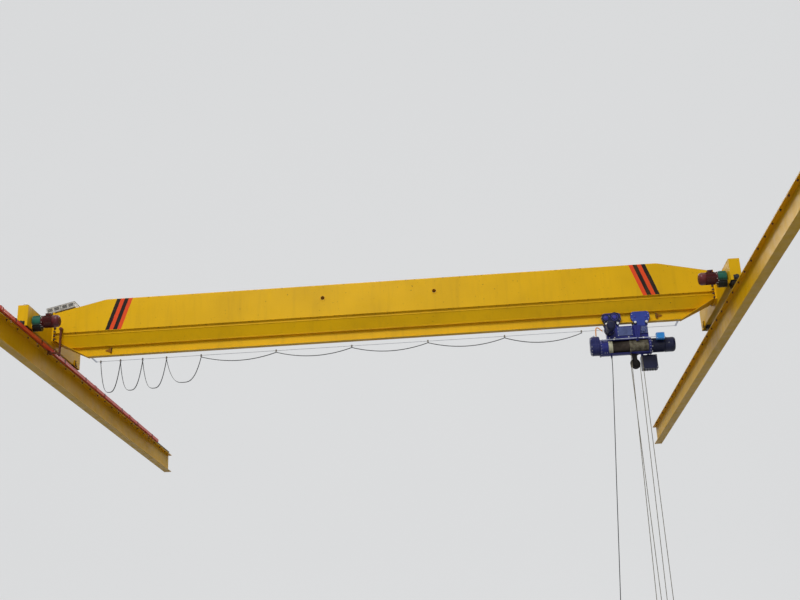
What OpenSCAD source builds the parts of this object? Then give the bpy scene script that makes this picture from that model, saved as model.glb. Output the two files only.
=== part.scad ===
// Single-girder overhead bridge crane with its two runway beams.
// X runs along the girder, Y along the runway and Z up. The origin is on the underside of the
// left runway beam, at the second column line.

/* [Runway] */
// Distance between the two rails
span = 15800; // [13000:100:18000]
// Distance between the supports of a runway beam
bay = 5900; // [5000:100:8000]
// Whole bays on the near side of the origin
bays_near = 1; // [1:1:2]
// Whole bays on the far side of the origin
bays_far = 2; // [1:1:3]
// Length of beam past the first and last support
beam_overhang = 150; // [120:10:600]
// Depth of a runway beam
beam_h = 550; // [400:10:700]
// Width of a runway beam's flanges
beam_w = 220; // [190:5:300]
// Thickness of a runway beam's flanges
beam_flange = 17; // [12:1:25]
// Thickness of a runway beam's web
beam_web = 11; // [8:1:16]
// Height of the crane rail
rail_h = 120; // [100:5:140]
// Width of the crane rail's foot
rail_foot = 110; // [90:5:120]
// Width of the crane rail's head
rail_head = 65; // [55:1:70]

/* [Beam seats] */
// Hole spacing across the flange at a seat
seat_hole_x = 140; // [110:5:150]
// Hole spacing along the beam at a seat
seat_hole_y = 160; // [120:5:200]
// Diameter of a seat's bolt holes
seat_hole_d = 22; // [18:1:26]

/* [Girder] */
// Where the bridge stands along the runway
bridge_y = 1350; // [0:50:2000]
// Height of the track's underside above the runway beams, below them if negative
track_z = -72; // [-90:1:40]
// Depth of the track beam
track_h = 250; // [230:5:300]
// Width of the track beam's flanges
track_w = 140; // [120:2:150]
// Thickness of the track beam's flanges
track_flange = 16; // [12:1:20]
// Thickness of the track beam's web
track_web = 10; // [8:1:14]
// Height of the sloping plates between the track and the box
slant_h = 253; // [150:1:300]
// Height of the edge strip at the foot of the box
lip_h = 47; // [30:1:60]
// How far the edge strip steps in under the side plates
lip_in = 42; // [20:1:60]
// How far the edge strip lies below the side plates
lip_drop = 28; // [15:1:40]
// Height of the box's side plates
web_h = 790; // [600:10:900]
// Width of the box
box_w = 440; // [380:5:520]
// Thickness of the box's plates
plate = 8; // [6:1:12]
// Bend radius along the box's top edges
bend_r = 30; // [15:1:50]
// Distance from mid-span to where the top starts to slope down
knee_top = 6470; // [5000:10:6600]
// Distance from mid-span to where the underside starts to slope up
knee_low = 6940; // [6700:10:7000]
// Height of the girder's ends
end_h = 660; // [500:10:700]
// Height of the girder's ends above the runway beams
end_z = 350; // [300:5:380]
// Distance of the lifting sleeves from mid-span
sleeve_x = 1315; // [600:5:3000]
// Depth of the lifting sleeves below the box's top
sleeve_z = 336; // [200:2:450]
// Bore of the lifting sleeves
sleeve_d = 84; // [60:2:110]

/* [End carriages] */
// Length of an end carriage
carriage_l = 3440; // [3000:20:3800]
// Width of an end carriage
carriage_w = 240; // [220:5:280]
// Height of an end carriage
carriage_h = 490; // [400:10:550]
// Thickness of an end carriage's plates
carriage_t = 10; // [8:1:14]
// Height of an end carriage above the rail
carriage_gap = 70; // [50:1:80]
// Distance between the wheels of an end carriage
wheel_base = 2800; // [2400:20:2840]
// Diameter of the travel wheels
wheel_d = 270; // [250:2:290]
// Width of the travel wheels' tread
wheel_tread = 76; // [72:1:80]
// Diameter of the travel wheels' axles
axle_d = 60; // [50:1:70]
// Thickness of the bolted end plates
end_plate = 20; // [14:1:25]
// Width of the bolted end plates
end_plate_w = 520; // [480:10:600]

/* [Travel drives] */
// Diameter of a travel motor
motor_d = 270; // [200:5:280]
// Length of a travel motor
motor_l = 400; // [320:10:450]
// Width of a travel gearbox, along the girder
gearbox_l = 220; // [180:5:260]
// Height of a travel motor's axis above the wheel's axle
drive_rise = 112; // [90:2:130]

/* [Hoist] */
// Where the hoist stands, from mid-span
hoist_x = 5685; // [0:5:5700]
// Distance between the two trolleys' centres
trolley_pitch = 656; // [620:4:700]
// Diameter of the trolley wheels
trolley_wheel_d = 178; // [150:2:180]
// Distance from a trolley's centre to its wheels
trolley_wheel_x = 122; // [112:1:130]
// Distance from a trolley's centre to its cross bolts
cross_bolt_x = 128; // [120:1:136]
// Depth of the drum's axis below the track
drum_z = 570; // [540:5:640]
// Diameter of the drum
drum_d = 280; // [260:2:290]
// Outer diameter of the drum's shell
shell_d = 380; // [370:2:400]
// Length of the drum's shell
shell_l = 1150; // [1100:10:1200]
// Diameter of the hoist's motor
hoist_motor_d = 310; // [280:2:340]
// Depth of the upper sheave's axle below the track
sheave_z = 985; // [960:5:1060]
// Distance between the rope falls, across the upper sheave
upper_gap = 230; // [200:2:240]
// Distance between the rope falls, across a sheave of the hook block
fall_gap = 400; // [360:2:420]
// Diameter of the wire rope
rope_d = 15; // [12:1:16]
// Depth of the hook block's sheave axle below the track
block_z = 8900; // [6000:20:9400]
// How far the hook block stands turned from the girder's line
block_turn = 45; // [0:1:60]
// Distance between the hook block's two sheaves
sheave_pair = 200; // [170:2:220]

/* [Hidden] */
$fn = 48;

seat_gap = 0.3;              // between faces that roll or slide on each other
run_gap = 0.1;               // between an axle and its bore
runway_from = -bays_near * bay - beam_overhang;
runway_to = bays_far * bay + beam_overhang;
runway_l = runway_to - runway_from;
track_top = track_z + track_h;
lip_z = track_top + slant_h;
web_z = lip_z + lip_h + lip_drop;
box_top = web_z + web_h;
carriage_z = rail_h + carriage_gap;
carriage_top = carriage_z + carriage_h;
wheel_z = rail_h + wheel_d / 2 + seat_gap;
drive_z = wheel_z + drive_rise;
wheel_y = wheel_base / 2;
girder_end = span / 2 - carriage_w / 2 - 2 * end_plate;
yellow = "#e8ac00";
navy = "#20266a";

// Places children at mid-span, on the level of the runway beams' tops
module on_bridge() translate([span / 2, bridge_y, beam_h]) children();
// Places children under the track, at the middle of the hoist
module on_hoist() on_bridge() translate([hoist_x, 0, track_z]) children();
// Places children at an end carriage, with its inner side towards -X
module on_carriage(side) on_bridge()
    translate([side * span / 2, 0, 0]) mirror([side < 0 ? 1 : 0, 0, 0]) children();
// Extrudes a shape drawn in (Y, Z) along X, centred
module along_x(length) rotate([90, 0, 90]) linear_extrude(length, center = true) children();
// Extrudes a shape drawn in (X, Z) along Y, centred
module along_y(length) rotate([90, 0, 0]) linear_extrude(length, center = true) children();
module rod_x(d, length) rotate([0, 90, 0]) cylinder(d = d, h = length, center = true);
module rod_y(d, length) rotate([90, 0, 0]) cylinder(d = d, h = length, center = true);

// Outline of a rolled I-section standing on Z = 0
module i_section(h, w, flange, web) {
    translate([-w / 2, 0]) square([w, flange]);
    translate([-w / 2, h - flange]) square([w, flange]);
    translate([-web / 2, 0]) square([web, h]);
}

// A runway beam from end to end, with the bolt holes of its seats
module runway_beam() color(yellow) difference() {
    translate([0, (runway_from + runway_to) / 2, 0]) rotate([90, 0, 0])
        linear_extrude(runway_l, center = true) i_section(beam_h, beam_w, beam_flange, beam_web);
    for (i = [-bays_near : bays_far], x = [-1, 1], y = [-1, 1])
        translate([x * seat_hole_x / 2, i * bay + y * seat_hole_y / 2, -1])
            cylinder(d = seat_hole_d, h = beam_flange + 2);
}
module left_runway_beam() runway_beam();
module right_runway_beam() translate([span, 0, 0]) runway_beam();

// A flat-footed crane rail on a runway beam
module rail() color("#6b5a48") translate([0, (runway_from + runway_to) / 2, beam_h])
    rotate([90, 0, 0]) linear_extrude(runway_l - 40, center = true) polygon([for (side = [1, -1]) each [
        for (p = side > 0
            ? [[rail_foot / 2, 0], [rail_foot / 2, 10], [12, 24], [8, rail_h - 42], [rail_head / 2, rail_h - 30],
               [rail_head / 2, rail_h - 5], [rail_head / 2 - 5, rail_h]]
            : [[5 - rail_head / 2, rail_h], [-rail_head / 2, rail_h - 5], [-rail_head / 2, rail_h - 30],
               [-8, rail_h - 42], [-12, 24], [-rail_foot / 2, 10], [-rail_foot / 2, 0]]) p]]);
module crane_rails() for (x = [0, span]) translate([x, 0, 0]) rail();

bar_x = beam_w / 2 + 80;       // from the left beam's middle to the conductor bar
bar_w = 56;
bar_h = 80;
bar_wall = 5;
bar_slot = 12;
bar_z = -30;                   // underside of the bar, from the beam's top
bar_from = runway_from + 60;
bar_short = 1950;              // how far the bar ends short of the beam's far end
bar_to = runway_to - bar_short;
bracket_pitch = 1500;
bracket_w = 40;
bracket_t = 6;

// Enclosed conductor bar along the left beam's inner side, open underneath
module conductor_bar() color("#d8442a") translate([bar_x, (bar_from + bar_to) / 2, beam_h + bar_z])
    rotate([90, 0, 0]) linear_extrude(bar_to - bar_from, center = true) difference() {
        translate([-bar_w / 2, 0]) square([bar_w, bar_h]);
        translate([-bar_w / 2 + bar_wall, bar_wall]) square([bar_w - 2 * bar_wall, bar_h - 2 * bar_wall]);
        translate([-bar_slot / 2, -1]) square([bar_slot, bar_wall + 2]);
    }

// Arms that hold the conductor bar off the beam's top flange
module conductor_bar_brackets() color("#3a3a3a")
    for (y = [bar_from + 300 : bracket_pitch : bar_to - 100]) translate([0, y, beam_h]) rotate([90, 0, 0])
        linear_extrude(bracket_w, center = true) let (inner = rail_foot / 2 + 6, side = bar_x - bar_w / 2 - seat_gap,
            outer = bar_x + bar_w / 2 + seat_gap, top = bar_z + bar_h + seat_gap) {
            polygon([[inner, 0], [side - bracket_t, 0], [side - bracket_t, bar_z], [side, bar_z], [side, top],
                [outer, top], [outer, bar_z], [outer + bracket_t, bar_z], [outer + bracket_t, top + bracket_t],
                [side - bracket_t, top + bracket_t], [side - bracket_t, bracket_t], [inner, bracket_t]]);
        }

// Side outline of the girder, in (X, Z), drawn inside by inset
module girder_side(inset = 0) {
    end = girder_end + (inset > 0 ? 1 : 0);
    polygon([
        [-knee_low, track_z + inset], [knee_low, track_z + inset],
        [end, end_z + inset], [end, end_z + end_h - inset],
        [knee_top, box_top - inset], [-knee_top, box_top - inset],
        [-end, end_z + end_h - inset], [-end, end_z + inset]
    ]);
}

// Half outline of the box, in (Y, Z), with its side and top plates set in by inset
function box_half(inset) = concat(
    [for (a = [90 : -15 : 0])
        [box_w / 2 - bend_r + (bend_r - inset) * cos(a), box_top - bend_r + (bend_r - inset) * sin(a)]],
    [[box_w / 2 - inset, web_z], [box_w / 2 - lip_in - inset, web_z - lip_drop],
     [box_w / 2 - lip_in - inset, lip_z], [track_w / 2 - inset, track_top - (inset > 0 ? 1 : 0)]]);
module box_section(inset = 0) {
    half = box_half(inset);
    last = len(half) - 1;
    polygon(concat(half, [for (i = [last : -1 : 0]) [-half[i][0], half[i][1]]]));
}

// The folded box with its sloping lower plates, its ends tapered above and below
module girder_box() color(yellow) on_bridge() difference() {
    union() {
        difference() {
            intersection() {
                along_x(2 * girder_end) box_section();
                along_y(box_w + 2) girder_side();
            }
            intersection() {
                along_x(2 * girder_end + 2) box_section(plate);
                along_y(box_w + 2) girder_side(plate);
            }
        }
        for (x = [-1, 1]) translate([x * sleeve_x, 0, box_top - sleeve_z]) rod_y(sleeve_d + 60, box_w + 12);
    }
    for (x = [-1, 1]) translate([x * sleeve_x, 0, box_top - sleeve_z]) rod_y(sleeve_d, box_w + 40);
}

// The rolled beam that the hoist runs on
module girder_track() color(yellow) on_bridge() intersection() {
    along_x(2 * girder_end) translate([0, track_z]) i_section(track_h, track_w, track_flange, track_web);
    along_y(track_w + 2) girder_side();
}

slope_angle = atan2(end_z - track_z, girder_end - knee_low);
slope_l = (girder_end - knee_low) / cos(slope_angle);
soffit_t = 12;
flange_low = end_z - 50;       // foot of the bolted plates
flange_top = end_z + end_h + 10;
corner_l = 110;
// The girder's two ends: the bolted plate that closes the box, the sloping plate below it that widens
// from the track's flange to the bolted plate, and small corner plates at the sides
module girder_end_plates() color(yellow) for (side = [-1, 1]) {
    on_carriage(side) translate([-carriage_w / 2 - 2 * end_plate, -end_plate_w / 2, flange_low])
        cube([end_plate, end_plate_w, flange_top - flange_low]);
    on_bridge() mirror([side < 0 ? 1 : 0, 0, 0]) translate([knee_low, 0, track_z])
        rotate([0, -slope_angle, 0]) translate([0, 0, -soffit_t]) linear_extrude(soffit_t) polygon([
            [0, -track_w / 2], [slope_l, -end_plate_w / 2], [slope_l, end_plate_w / 2], [0, track_w / 2]]);
    for (y = [-1, 1]) on_bridge() mirror([side < 0 ? 1 : 0, 0, 0]) mirror([0, y < 0 ? 1 : 0, 0])
        translate([girder_end, box_w / 2, web_z]) linear_extrude(plate) polygon([
            [-corner_l, 0], [1, 0], [1, (end_plate_w - box_w) / 2], [0, (end_plate_w - box_w) / 2]]);
}

stop_x = 6390;
stop_h = 125;
stop_out = 62;
stop_t = 18;
gusset_l = 130;
gusset_t = 12;
// Stops that end the hoist's travel: a plate at each side of the track's web, braced by a gusset
module trolley_stops() color("#1c1a18") on_bridge() for (side = [-1, 1], y = [-1, 1])
    mirror([side < 0 ? 1 : 0, 0, 0]) mirror([0, y < 0 ? 1 : 0, 0])
        translate([stop_x, track_web / 2, track_z + (track_h - stop_h) / 2 + 10]) {
            cube([stop_t, stop_out, stop_h]);
            translate([stop_t, gusset_t, 0]) rotate([90, 0, 0]) linear_extrude(gusset_t)
                polygon([[-1, 8], [gusset_l, stop_h / 2 - 10], [gusset_l, stop_h / 2 + 10], [-1, stop_h - 8]]);
        }

pocket_l = 330;
rib_t = 12;
drive_pad = 25;                // thickness of the ring that a travel gearbox is bolted to
drive_pad_d = 170;
// An end carriage: a welded box, open below at its two ends for the wheels, with the plate that the
// girder bolts to and two ribs over that plate
module end_carriage(side) color(yellow) on_carriage(side) difference() {
    union() {
        translate([-carriage_w / 2, -carriage_l / 2, carriage_z]) cube([carriage_w, carriage_l, carriage_h]);
        translate([-carriage_w / 2 - end_plate, -end_plate_w / 2, flange_low])
            cube([end_plate, end_plate_w, flange_top - flange_low]);
        for (y = [-1, 1]) translate([0, y * (end_plate_w / 2 - 50) + rib_t / 2, carriage_top]) rotate([90, 0, 0])
            linear_extrude(rib_t) polygon([[-carriage_w / 2, -1], [carriage_w / 2 - 20, -1],
                [-carriage_w / 2, flange_top - carriage_top - 20]]);
        translate([-(carriage_w + drive_pad) / 2, -wheel_y, wheel_z]) rod_x(drive_pad_d, drive_pad);
    }
    difference() {
        translate([-carriage_w / 2 + carriage_t, -carriage_l / 2 + carriage_t, carriage_z + carriage_t])
            cube([carriage_w - 2 * carriage_t, carriage_l - 2 * carriage_t, carriage_h - 2 * carriage_t]);
        for (y = [-1, 1]) translate([-carriage_w / 2, y * (wheel_y - pocket_l / 2) - carriage_t / 2, carriage_z])
            cube([carriage_w, carriage_t, carriage_h]);
    }
    for (y = [-1, 1]) {
        mirror([0, y < 0 ? 1 : 0, 0])
            translate([-carriage_w / 2 + carriage_t, wheel_y - (pocket_l - carriage_t) / 2, carriage_z - 1])
                cube([carriage_w - 2 * carriage_t, carriage_l / 2 - carriage_t - wheel_y + (pocket_l - carriage_t) / 2,
                    carriage_t + 2]);
        translate([0, y * wheel_y, wheel_z]) rod_x(bearing_boss_d + 1, carriage_w + 2 + 2 * drive_pad);
    }
}
module left_end_carriage() end_carriage(-1);
module right_end_carriage() end_carriage(1);

buffer_d = 96;
buffer_l = 70;
buffer_z = 57;                 // height of the buffers above the carriages' undersides
buffer_plate = 10;
// Rubber buffers at the ends of the end carriages, each moulded on a plate
module carriage_buffers() color("#151515") for (side = [-1, 1]) on_carriage(side) for (y = [-1, 1])
    translate([0, y * carriage_l / 2, carriage_z + buffer_z]) rotate([-90 * y, 0, 0]) {
        translate([-buffer_d / 2 - 11, -buffer_d / 2 - 4, 0]) cube([buffer_d + 22, buffer_d + 8, buffer_plate]);
        translate([0, 0, buffer_plate - 1])
            cylinder(d1 = buffer_d, d2 = buffer_d - 14, h = buffer_l - buffer_plate + 1);
    }

bearing_boss_d = 110;
bearing_plate = 150;
bearing_plate_t = 18;
bearing_out = 46;
// One wheel bearing on the outside of a carriage plate, its axle hole along X
module wheel_bearing() difference() {
    union() {
        translate([0, -bearing_plate / 2, -bearing_plate / 2]) cube([bearing_plate_t, bearing_plate, bearing_plate]);
        translate([bearing_out / 2, 0, 0]) rod_x(bearing_boss_d, bearing_out);
        translate([-carriage_t / 2, 0, 0]) rod_x(bearing_boss_d, carriage_t);
    }
    translate([bearing_out / 2 - 10, 0, 0]) rod_x(axle_d + 2 * run_gap, bearing_out + carriage_t);
}
// Bearings on the outer side of every wheel and the inner side of the two idle ones
module wheel_bearings() color(yellow) for (side = [-1, 1]) on_carriage(side) {
    for (y = [-1, 1]) translate([carriage_w / 2, y * wheel_y, wheel_z]) wheel_bearing();
    translate([-carriage_w / 2, wheel_y, wheel_z]) mirror([1, 0, 0]) wheel_bearing();
}

wheel_flange_d = wheel_d + 30;
// A double-flanged travel wheel with its axle, turning about X
module travel_wheel(side, y) color("#4a4440") on_carriage(side) translate([0, y * wheel_y, wheel_z])
    rotate([0, 90, 0]) rotate_extrude() polygon([
        [0, -carriage_w / 2 - 24], [axle_d / 2, -carriage_w / 2 - 24], [axle_d / 2, -88], [55, -88], [55, -30], [95, -24],
        [wheel_d / 2 - 22, -wheel_tread / 2 - 20], [wheel_flange_d / 2, -wheel_tread / 2 - 20],
        [wheel_flange_d / 2, -wheel_tread / 2 - 6], [wheel_d / 2, -wheel_tread / 2], [wheel_d / 2, wheel_tread / 2],
        [wheel_flange_d / 2, wheel_tread / 2 + 6], [wheel_flange_d / 2, wheel_tread / 2 + 20],
        [wheel_d / 2 - 22, wheel_tread / 2 + 20], [95, 24], [55, 30], [55, 88], [axle_d / 2, 88],
        [axle_d / 2, carriage_w / 2 + 24], [0, carriage_w / 2 + 24]
    ]);
module left_driven_wheel() travel_wheel(-1, -1);
module right_driven_wheel() travel_wheel(1, -1);
module left_idle_wheel() travel_wheel(-1, 1);
module right_idle_wheel() travel_wheel(1, 1);

gear_foot_r = 105;
gear_head_r = 140;
gear_ear_d = 52;
// Gearbox beside a carriage: a round foot over the wheel's axle, a larger head round the motor's axis
// with four bolted ears, and a hub in the carriage's ring
module travel_gearbox(side) color("#1f6f60") on_carriage(side) translate([-carriage_w / 2, -wheel_y, 0])
    difference() {
        union() {
            translate([-(gearbox_l + drive_pad) / 2, 0, 0]) {
                translate([0, 0, wheel_z]) rod_x(2 * gear_foot_r, gearbox_l - drive_pad);
                translate([0, 0, drive_z]) rod_x(2 * gear_head_r, gearbox_l - drive_pad);
                for (y = [-1, 1], z = [-1, 1]) translate([0, y * gear_head_r * 0.68, drive_z + z * gear_head_r * 0.68])
                    rod_x(gear_ear_d, gearbox_l - drive_pad - 30);
                translate([0, 0, wheel_z + drive_rise / 2])
                    cube([gearbox_l - drive_pad - 20, 2 * gear_foot_r, drive_rise], center = true);
            }
            translate([-drive_pad / 2 - 0.5, 0, wheel_z]) rod_x(bearing_boss_d, drive_pad + 1);
        }
        translate([0, 0, wheel_z]) rod_x(axle_d + 2 * run_gap, 2 * drive_pad + 10);
    }
module left_travel_gearbox() travel_gearbox(-1);
module right_travel_gearbox() travel_gearbox(1);

// Travel motor flanged to its gearbox: a finned body, a stepped fan cover and a terminal box on top
module travel_motor(side) color("#5c1a22") on_carriage(side) {
    translate([-carriage_w / 2 - gearbox_l, -wheel_y, drive_z]) rotate([0, -90, 0]) rotate_extrude() polygon([
        [0, 0], [motor_d / 2 + 8, 0], [motor_d / 2 + 8, 16], [motor_d / 2 - 10, 18], [motor_d / 2 - 10, 34],
        [motor_d / 2 - 2, 42], [motor_d / 2 - 2, motor_l * 0.62], [motor_d / 2 - 10, motor_l * 0.62 + 4],
        [motor_d / 2 - 10, motor_l * 0.66], [motor_d / 2, motor_l * 0.66], [motor_d / 2, motor_l - 60],
        [motor_d / 2 - 12, motor_l - 28], [motor_d / 2 - 34, motor_l - 8], [motor_d / 2 - 60, motor_l], [0, motor_l]
    ]);
    translate([-carriage_w / 2 - gearbox_l - motor_l * 0.34, -wheel_y, drive_z + motor_d / 2 + 12])
        cube([110, 120, 50], center = true);
}
module left_travel_motor() travel_motor(-1);
module right_travel_motor() travel_motor(1);

haunch_angle = atan2(box_top - end_z - end_h, girder_end - knee_top);
control_l = 690;
control_w = 450;
control_h = 150;
control_over = 196;            // how far the box stands out past the girder's end
control_foot = 30;
// Control box on feet on the left end's sloping top, standing out over the carriage
module control_box() color("#c9c7bd") on_bridge() translate([-girder_end, 0, end_z + end_h])
    rotate([0, -haunch_angle, 0]) {
        translate([-control_over, -control_w / 2, control_foot]) cube([control_l, control_w, control_h]);
        for (x = [12, control_l - control_over - 74]) translate([x, -120, 0]) cube([60, 240, control_foot + 1]);
    }

// Small warning sounder on the left carriage's near end
module warning_sounder() color("#d8d8d4") on_carriage(-1) translate([0, -carriage_l / 2 + 130, carriage_top])
    rotate_extrude() polygon([[0, 0], [60, 0], [60, 14], [48, 16], [48, 60], [40, 78], [0, 86]]);

collector_y = -290;
collector_x = bar_x + 162;     // from the left rail to the collector's post
shoe_y = -480;
post_w = 44;
// Current collector: a post on the side of the girder's left end, with shoes in the conductor bar
module current_collector() color("#3d2620") on_bridge() translate([-span / 2, 0, 0]) {
    translate([bar_x - 24, shoe_y - 90, bar_z - 62]) cube([48, 180, 56]);
    for (y = [-50, 50]) translate([bar_x - 5, shoe_y + y - 25, bar_z - 10]) cube([10, 50, 26]);
    translate([bar_x + 23, shoe_y - 20, bar_z - 60]) cube([collector_x - bar_x, 40, 30]);
    translate([collector_x - 15, shoe_y - 20, bar_z - 60]) cube([30, collector_y - shoe_y, 30]);
    translate([collector_x - post_w / 2, collector_y - post_w / 2, bar_z - 60]) cube([post_w, post_w, 700]);
    translate([collector_x, collector_y, 575]) rod_y(84, 60);
    translate([collector_x - post_w / 2, collector_y + post_w / 2 - 1, 560])
        cube([post_w, -collector_y - box_w / 2 - post_w / 2 + 1, 60]);
}

festoon_y = 400;
festoon_z = track_z + 8;
wire_end = 6890;
wire_d = 10;
// Taut wire behind the girder, between two flat arms on the edge of the track's flange
module festoon_wire() color("#77787a") on_bridge() {
    translate([0, festoon_y, festoon_z]) rod_x(wire_d, 2 * wire_end);
    for (x = [-1, 1]) translate([x * wire_end - 20, track_w / 2, track_z])
        cube([40, festoon_y + 20 - track_w / 2, track_flange]);
}

hanger_x = [-6780, -6300, -5760, -5180, -4340, -2530, -720, 1090, 2900, 4700];
loop_l = 1840;                 // cable in one loop
cable_t = 9;
cable_w = 46;
// Depth of a loop that hangs between two points a distance w apart
function loop_depth(w) = w > loop_l ? 30 : w < loop_l * 0.5 ? (loop_l - w * 0.75) / 2 : sqrt(0.375 * w * (loop_l - w));
function loop_points(a, b) = [for (i = [0 : 12]) let (t = -cos(180 * i / 12), w = b - a)
    [(a + b) / 2 + t * w / 2, -40 - loop_depth(w) * (1 - pow(abs(t), w < loop_l * 0.5 ? 4 : 2))]];
// Unit normal of a line of points at point i
function line_normal(p, i) = let (d = p[min(i + 1, len(p) - 1)] - p[max(i - 1, 0)]) [-d[1], d[0]] / norm(d);
// A strip of thickness t along a line of points
module strip(p, t) polygon([for (side = [1, -1]) each
    [for (k = [0 : len(p) - 1]) let (i = side > 0 ? k : len(p) - 1 - k) p[i] + side * line_normal(p, i) * t / 2]]);
// Flat cable that hangs in loops under the wire, on small hangers
module festoon_cable() color("#2b2b2b") on_bridge() translate([0, festoon_y, festoon_z]) {
    for (i = [0 : len(hanger_x) - 2]) along_y(cable_w) strip(loop_points(hanger_x[i], hanger_x[i + 1]), cable_t);
    for (x = hanger_x) translate([x, 0, 0]) difference() {
        translate([-15, -cable_w / 2 - 4, -46]) cube([30, cable_w + 8, 60]);
        rod_x(wire_d + 0.6, 40);
    }
}

trolley_plate_y = 98;
trolley_plate_t = 14;
cross_bolt_z = -30;
cross_bolt_d = 30;
cross_bolt_out = 45;           // how far the cross bolts stand out past the side plates
axle_z = track_flange + seat_gap + trolley_wheel_d / 2;
// Side plate outline of a trolley, in (X, Z): wide round the wheels, with a narrow foot under the track
module trolley_outline() {
    half = trolley_wheel_x + 90;
    polygon([[62 - half, 236], [half - 62, 236], [half - 22, 216], [half, 180], [half, 80], [half - 47, cross_bolt_z],
        [94, -62], [94, -115], [-94, -115], [-94, -62], [47 - half, cross_bolt_z], [-half, 80], [-half, 180],
        [22 - half, 216]]);
    for (x = [-1, 1]) translate([x * cross_bolt_x, cross_bolt_z]) circle(d = 76);
}
// Both side plates of a trolley with their cross bolts under the track
module trolley_frame() {
    for (y = [-1, 1]) difference() {
        translate([0, y * (trolley_plate_y + trolley_plate_t / 2), 0]) along_y(trolley_plate_t) trolley_outline();
        for (x = [-1, 1]) translate([x * trolley_wheel_x, y * trolley_plate_y, axle_z]) rod_y(28.6, 60);
    }
    for (x = [-1, 1]) translate([x * cross_bolt_x, 0, cross_bolt_z]) {
        rod_y(cross_bolt_d, 2 * (trolley_plate_y + trolley_plate_t + cross_bolt_out));
        rod_y(cross_bolt_d + 16, 2 * lug_y - 2 * seat_gap);
    }
}
module driven_trolley() color(navy) on_hoist() translate([-trolley_pitch / 2, 0, 0]) trolley_frame();
module idle_trolley() color(navy) on_hoist() translate([trolley_pitch / 2, 0, 0]) trolley_frame();

// Trolley wheels on the track's lower flange, each with its outer flange and stub axle
module trolley_wheels() color("#3c3c40") on_hoist() for (s = [-1, 1], x = [-1, 1], y = [-1, 1])
    translate([s * trolley_pitch / 2 + x * trolley_wheel_x, 0, axle_z]) rotate([-90 * y, 0, 0])
        rotate_extrude() polygon([
            [0, 18], [trolley_wheel_d / 2 - 3, 18], [trolley_wheel_d / 2, 22], [trolley_wheel_d / 2, track_w / 2 + 3],
            [trolley_wheel_d / 2 + 13, track_w / 2 + 7], [trolley_wheel_d / 2 + 13, track_w / 2 + 20],
            [14, track_w / 2 + 20], [14, trolley_plate_y + trolley_plate_t], [0, trolley_plate_y + trolley_plate_t]]);

gear_case_t = 53;
trolley_motor_x = -82;         // from the driven trolley's centre
trolley_motor_z = -195;
trolley_motor_d = 200;
trolley_motor_l = 395;
// Outline of the driven trolley's gear case, in (X, Z): two lobes over the wheels and one round the motor
module gear_case_outline(out) {
    translate([66, axle_z + 12]) circle(r = 125 + out);
    translate([-134, axle_z + 4]) circle(r = 100 + out);
    translate([trolley_motor_x - 10 - out, trolley_motor_z]) square([125 + 2 * out, axle_z - trolley_motor_z]);
    translate([trolley_motor_x, trolley_motor_z]) circle(r = trolley_motor_d / 2 + 18 + out);
}
// Gear case on the driven trolley's near side, with the trolley's motor standing out from its foot
module trolley_motor() color(navy) on_hoist() translate([-trolley_pitch / 2, -trolley_plate_y - trolley_plate_t, 0]) {
    translate([0, -8, 0]) along_y(16) gear_case_outline(0);
    translate([0, -gear_case_t / 2, 0]) along_y(gear_case_t) gear_case_outline(-9);
    translate([66, -gear_case_t, axle_z + 12]) rod_y(96, 20);
    translate([-134, -gear_case_t, axle_z + 4]) rod_y(72, 20);
    translate([trolley_motor_x, 1 - gear_case_t, trolley_motor_z]) rotate([90, 0, 0]) rotate_extrude() polygon([
        [0, 0], [trolley_motor_d / 2 + 9, 0], [trolley_motor_d / 2 + 9, 16], [trolley_motor_d / 2, 20],
        [trolley_motor_d / 2, trolley_motor_l * 0.55], [trolley_motor_d / 2 + 5, trolley_motor_l * 0.56],
        [trolley_motor_d / 2 + 5, trolley_motor_l * 0.85], [trolley_motor_d / 2 - 4, trolley_motor_l * 0.94],
        [trolley_motor_d / 2 - 28, trolley_motor_l * 0.99], [0, trolley_motor_l]]);
}

shell_mid = -80;               // from the hoist's middle to the shell's
shell_from = shell_mid - shell_l / 2;
shell_to = shell_mid + shell_l / 2;
shell_wall = 10;
shell_ring = 15;               // how far the rings at the shell's ends stand out
shell_ring_t = 16;
window_from = shell_from + 182;
window_to = shell_to - 50;
// The space that the drum's shell and its end rings take up
module shell_space() translate([shell_mid, 0, -drum_z]) {
    rod_x(shell_d, shell_l);
    for (s = [-1, 1]) translate([s * (shell_l - shell_ring_t) / 2, 0, 0]) rod_x(shell_d + 2 * shell_ring, shell_ring_t);
}

lug_y = 78;                    // from the middle to the inner faces of the frame's plates
lug_t = 18;
frame_top = cross_bolt_z - 65;
frame_half = trolley_pitch / 2 + cross_bolt_x + 14;
limit_y = -shell_d / 2 - 26;   // axis of the limit switch's rod
limit_z = -drum_z + 136;
limit_rod_d = 16;
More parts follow.
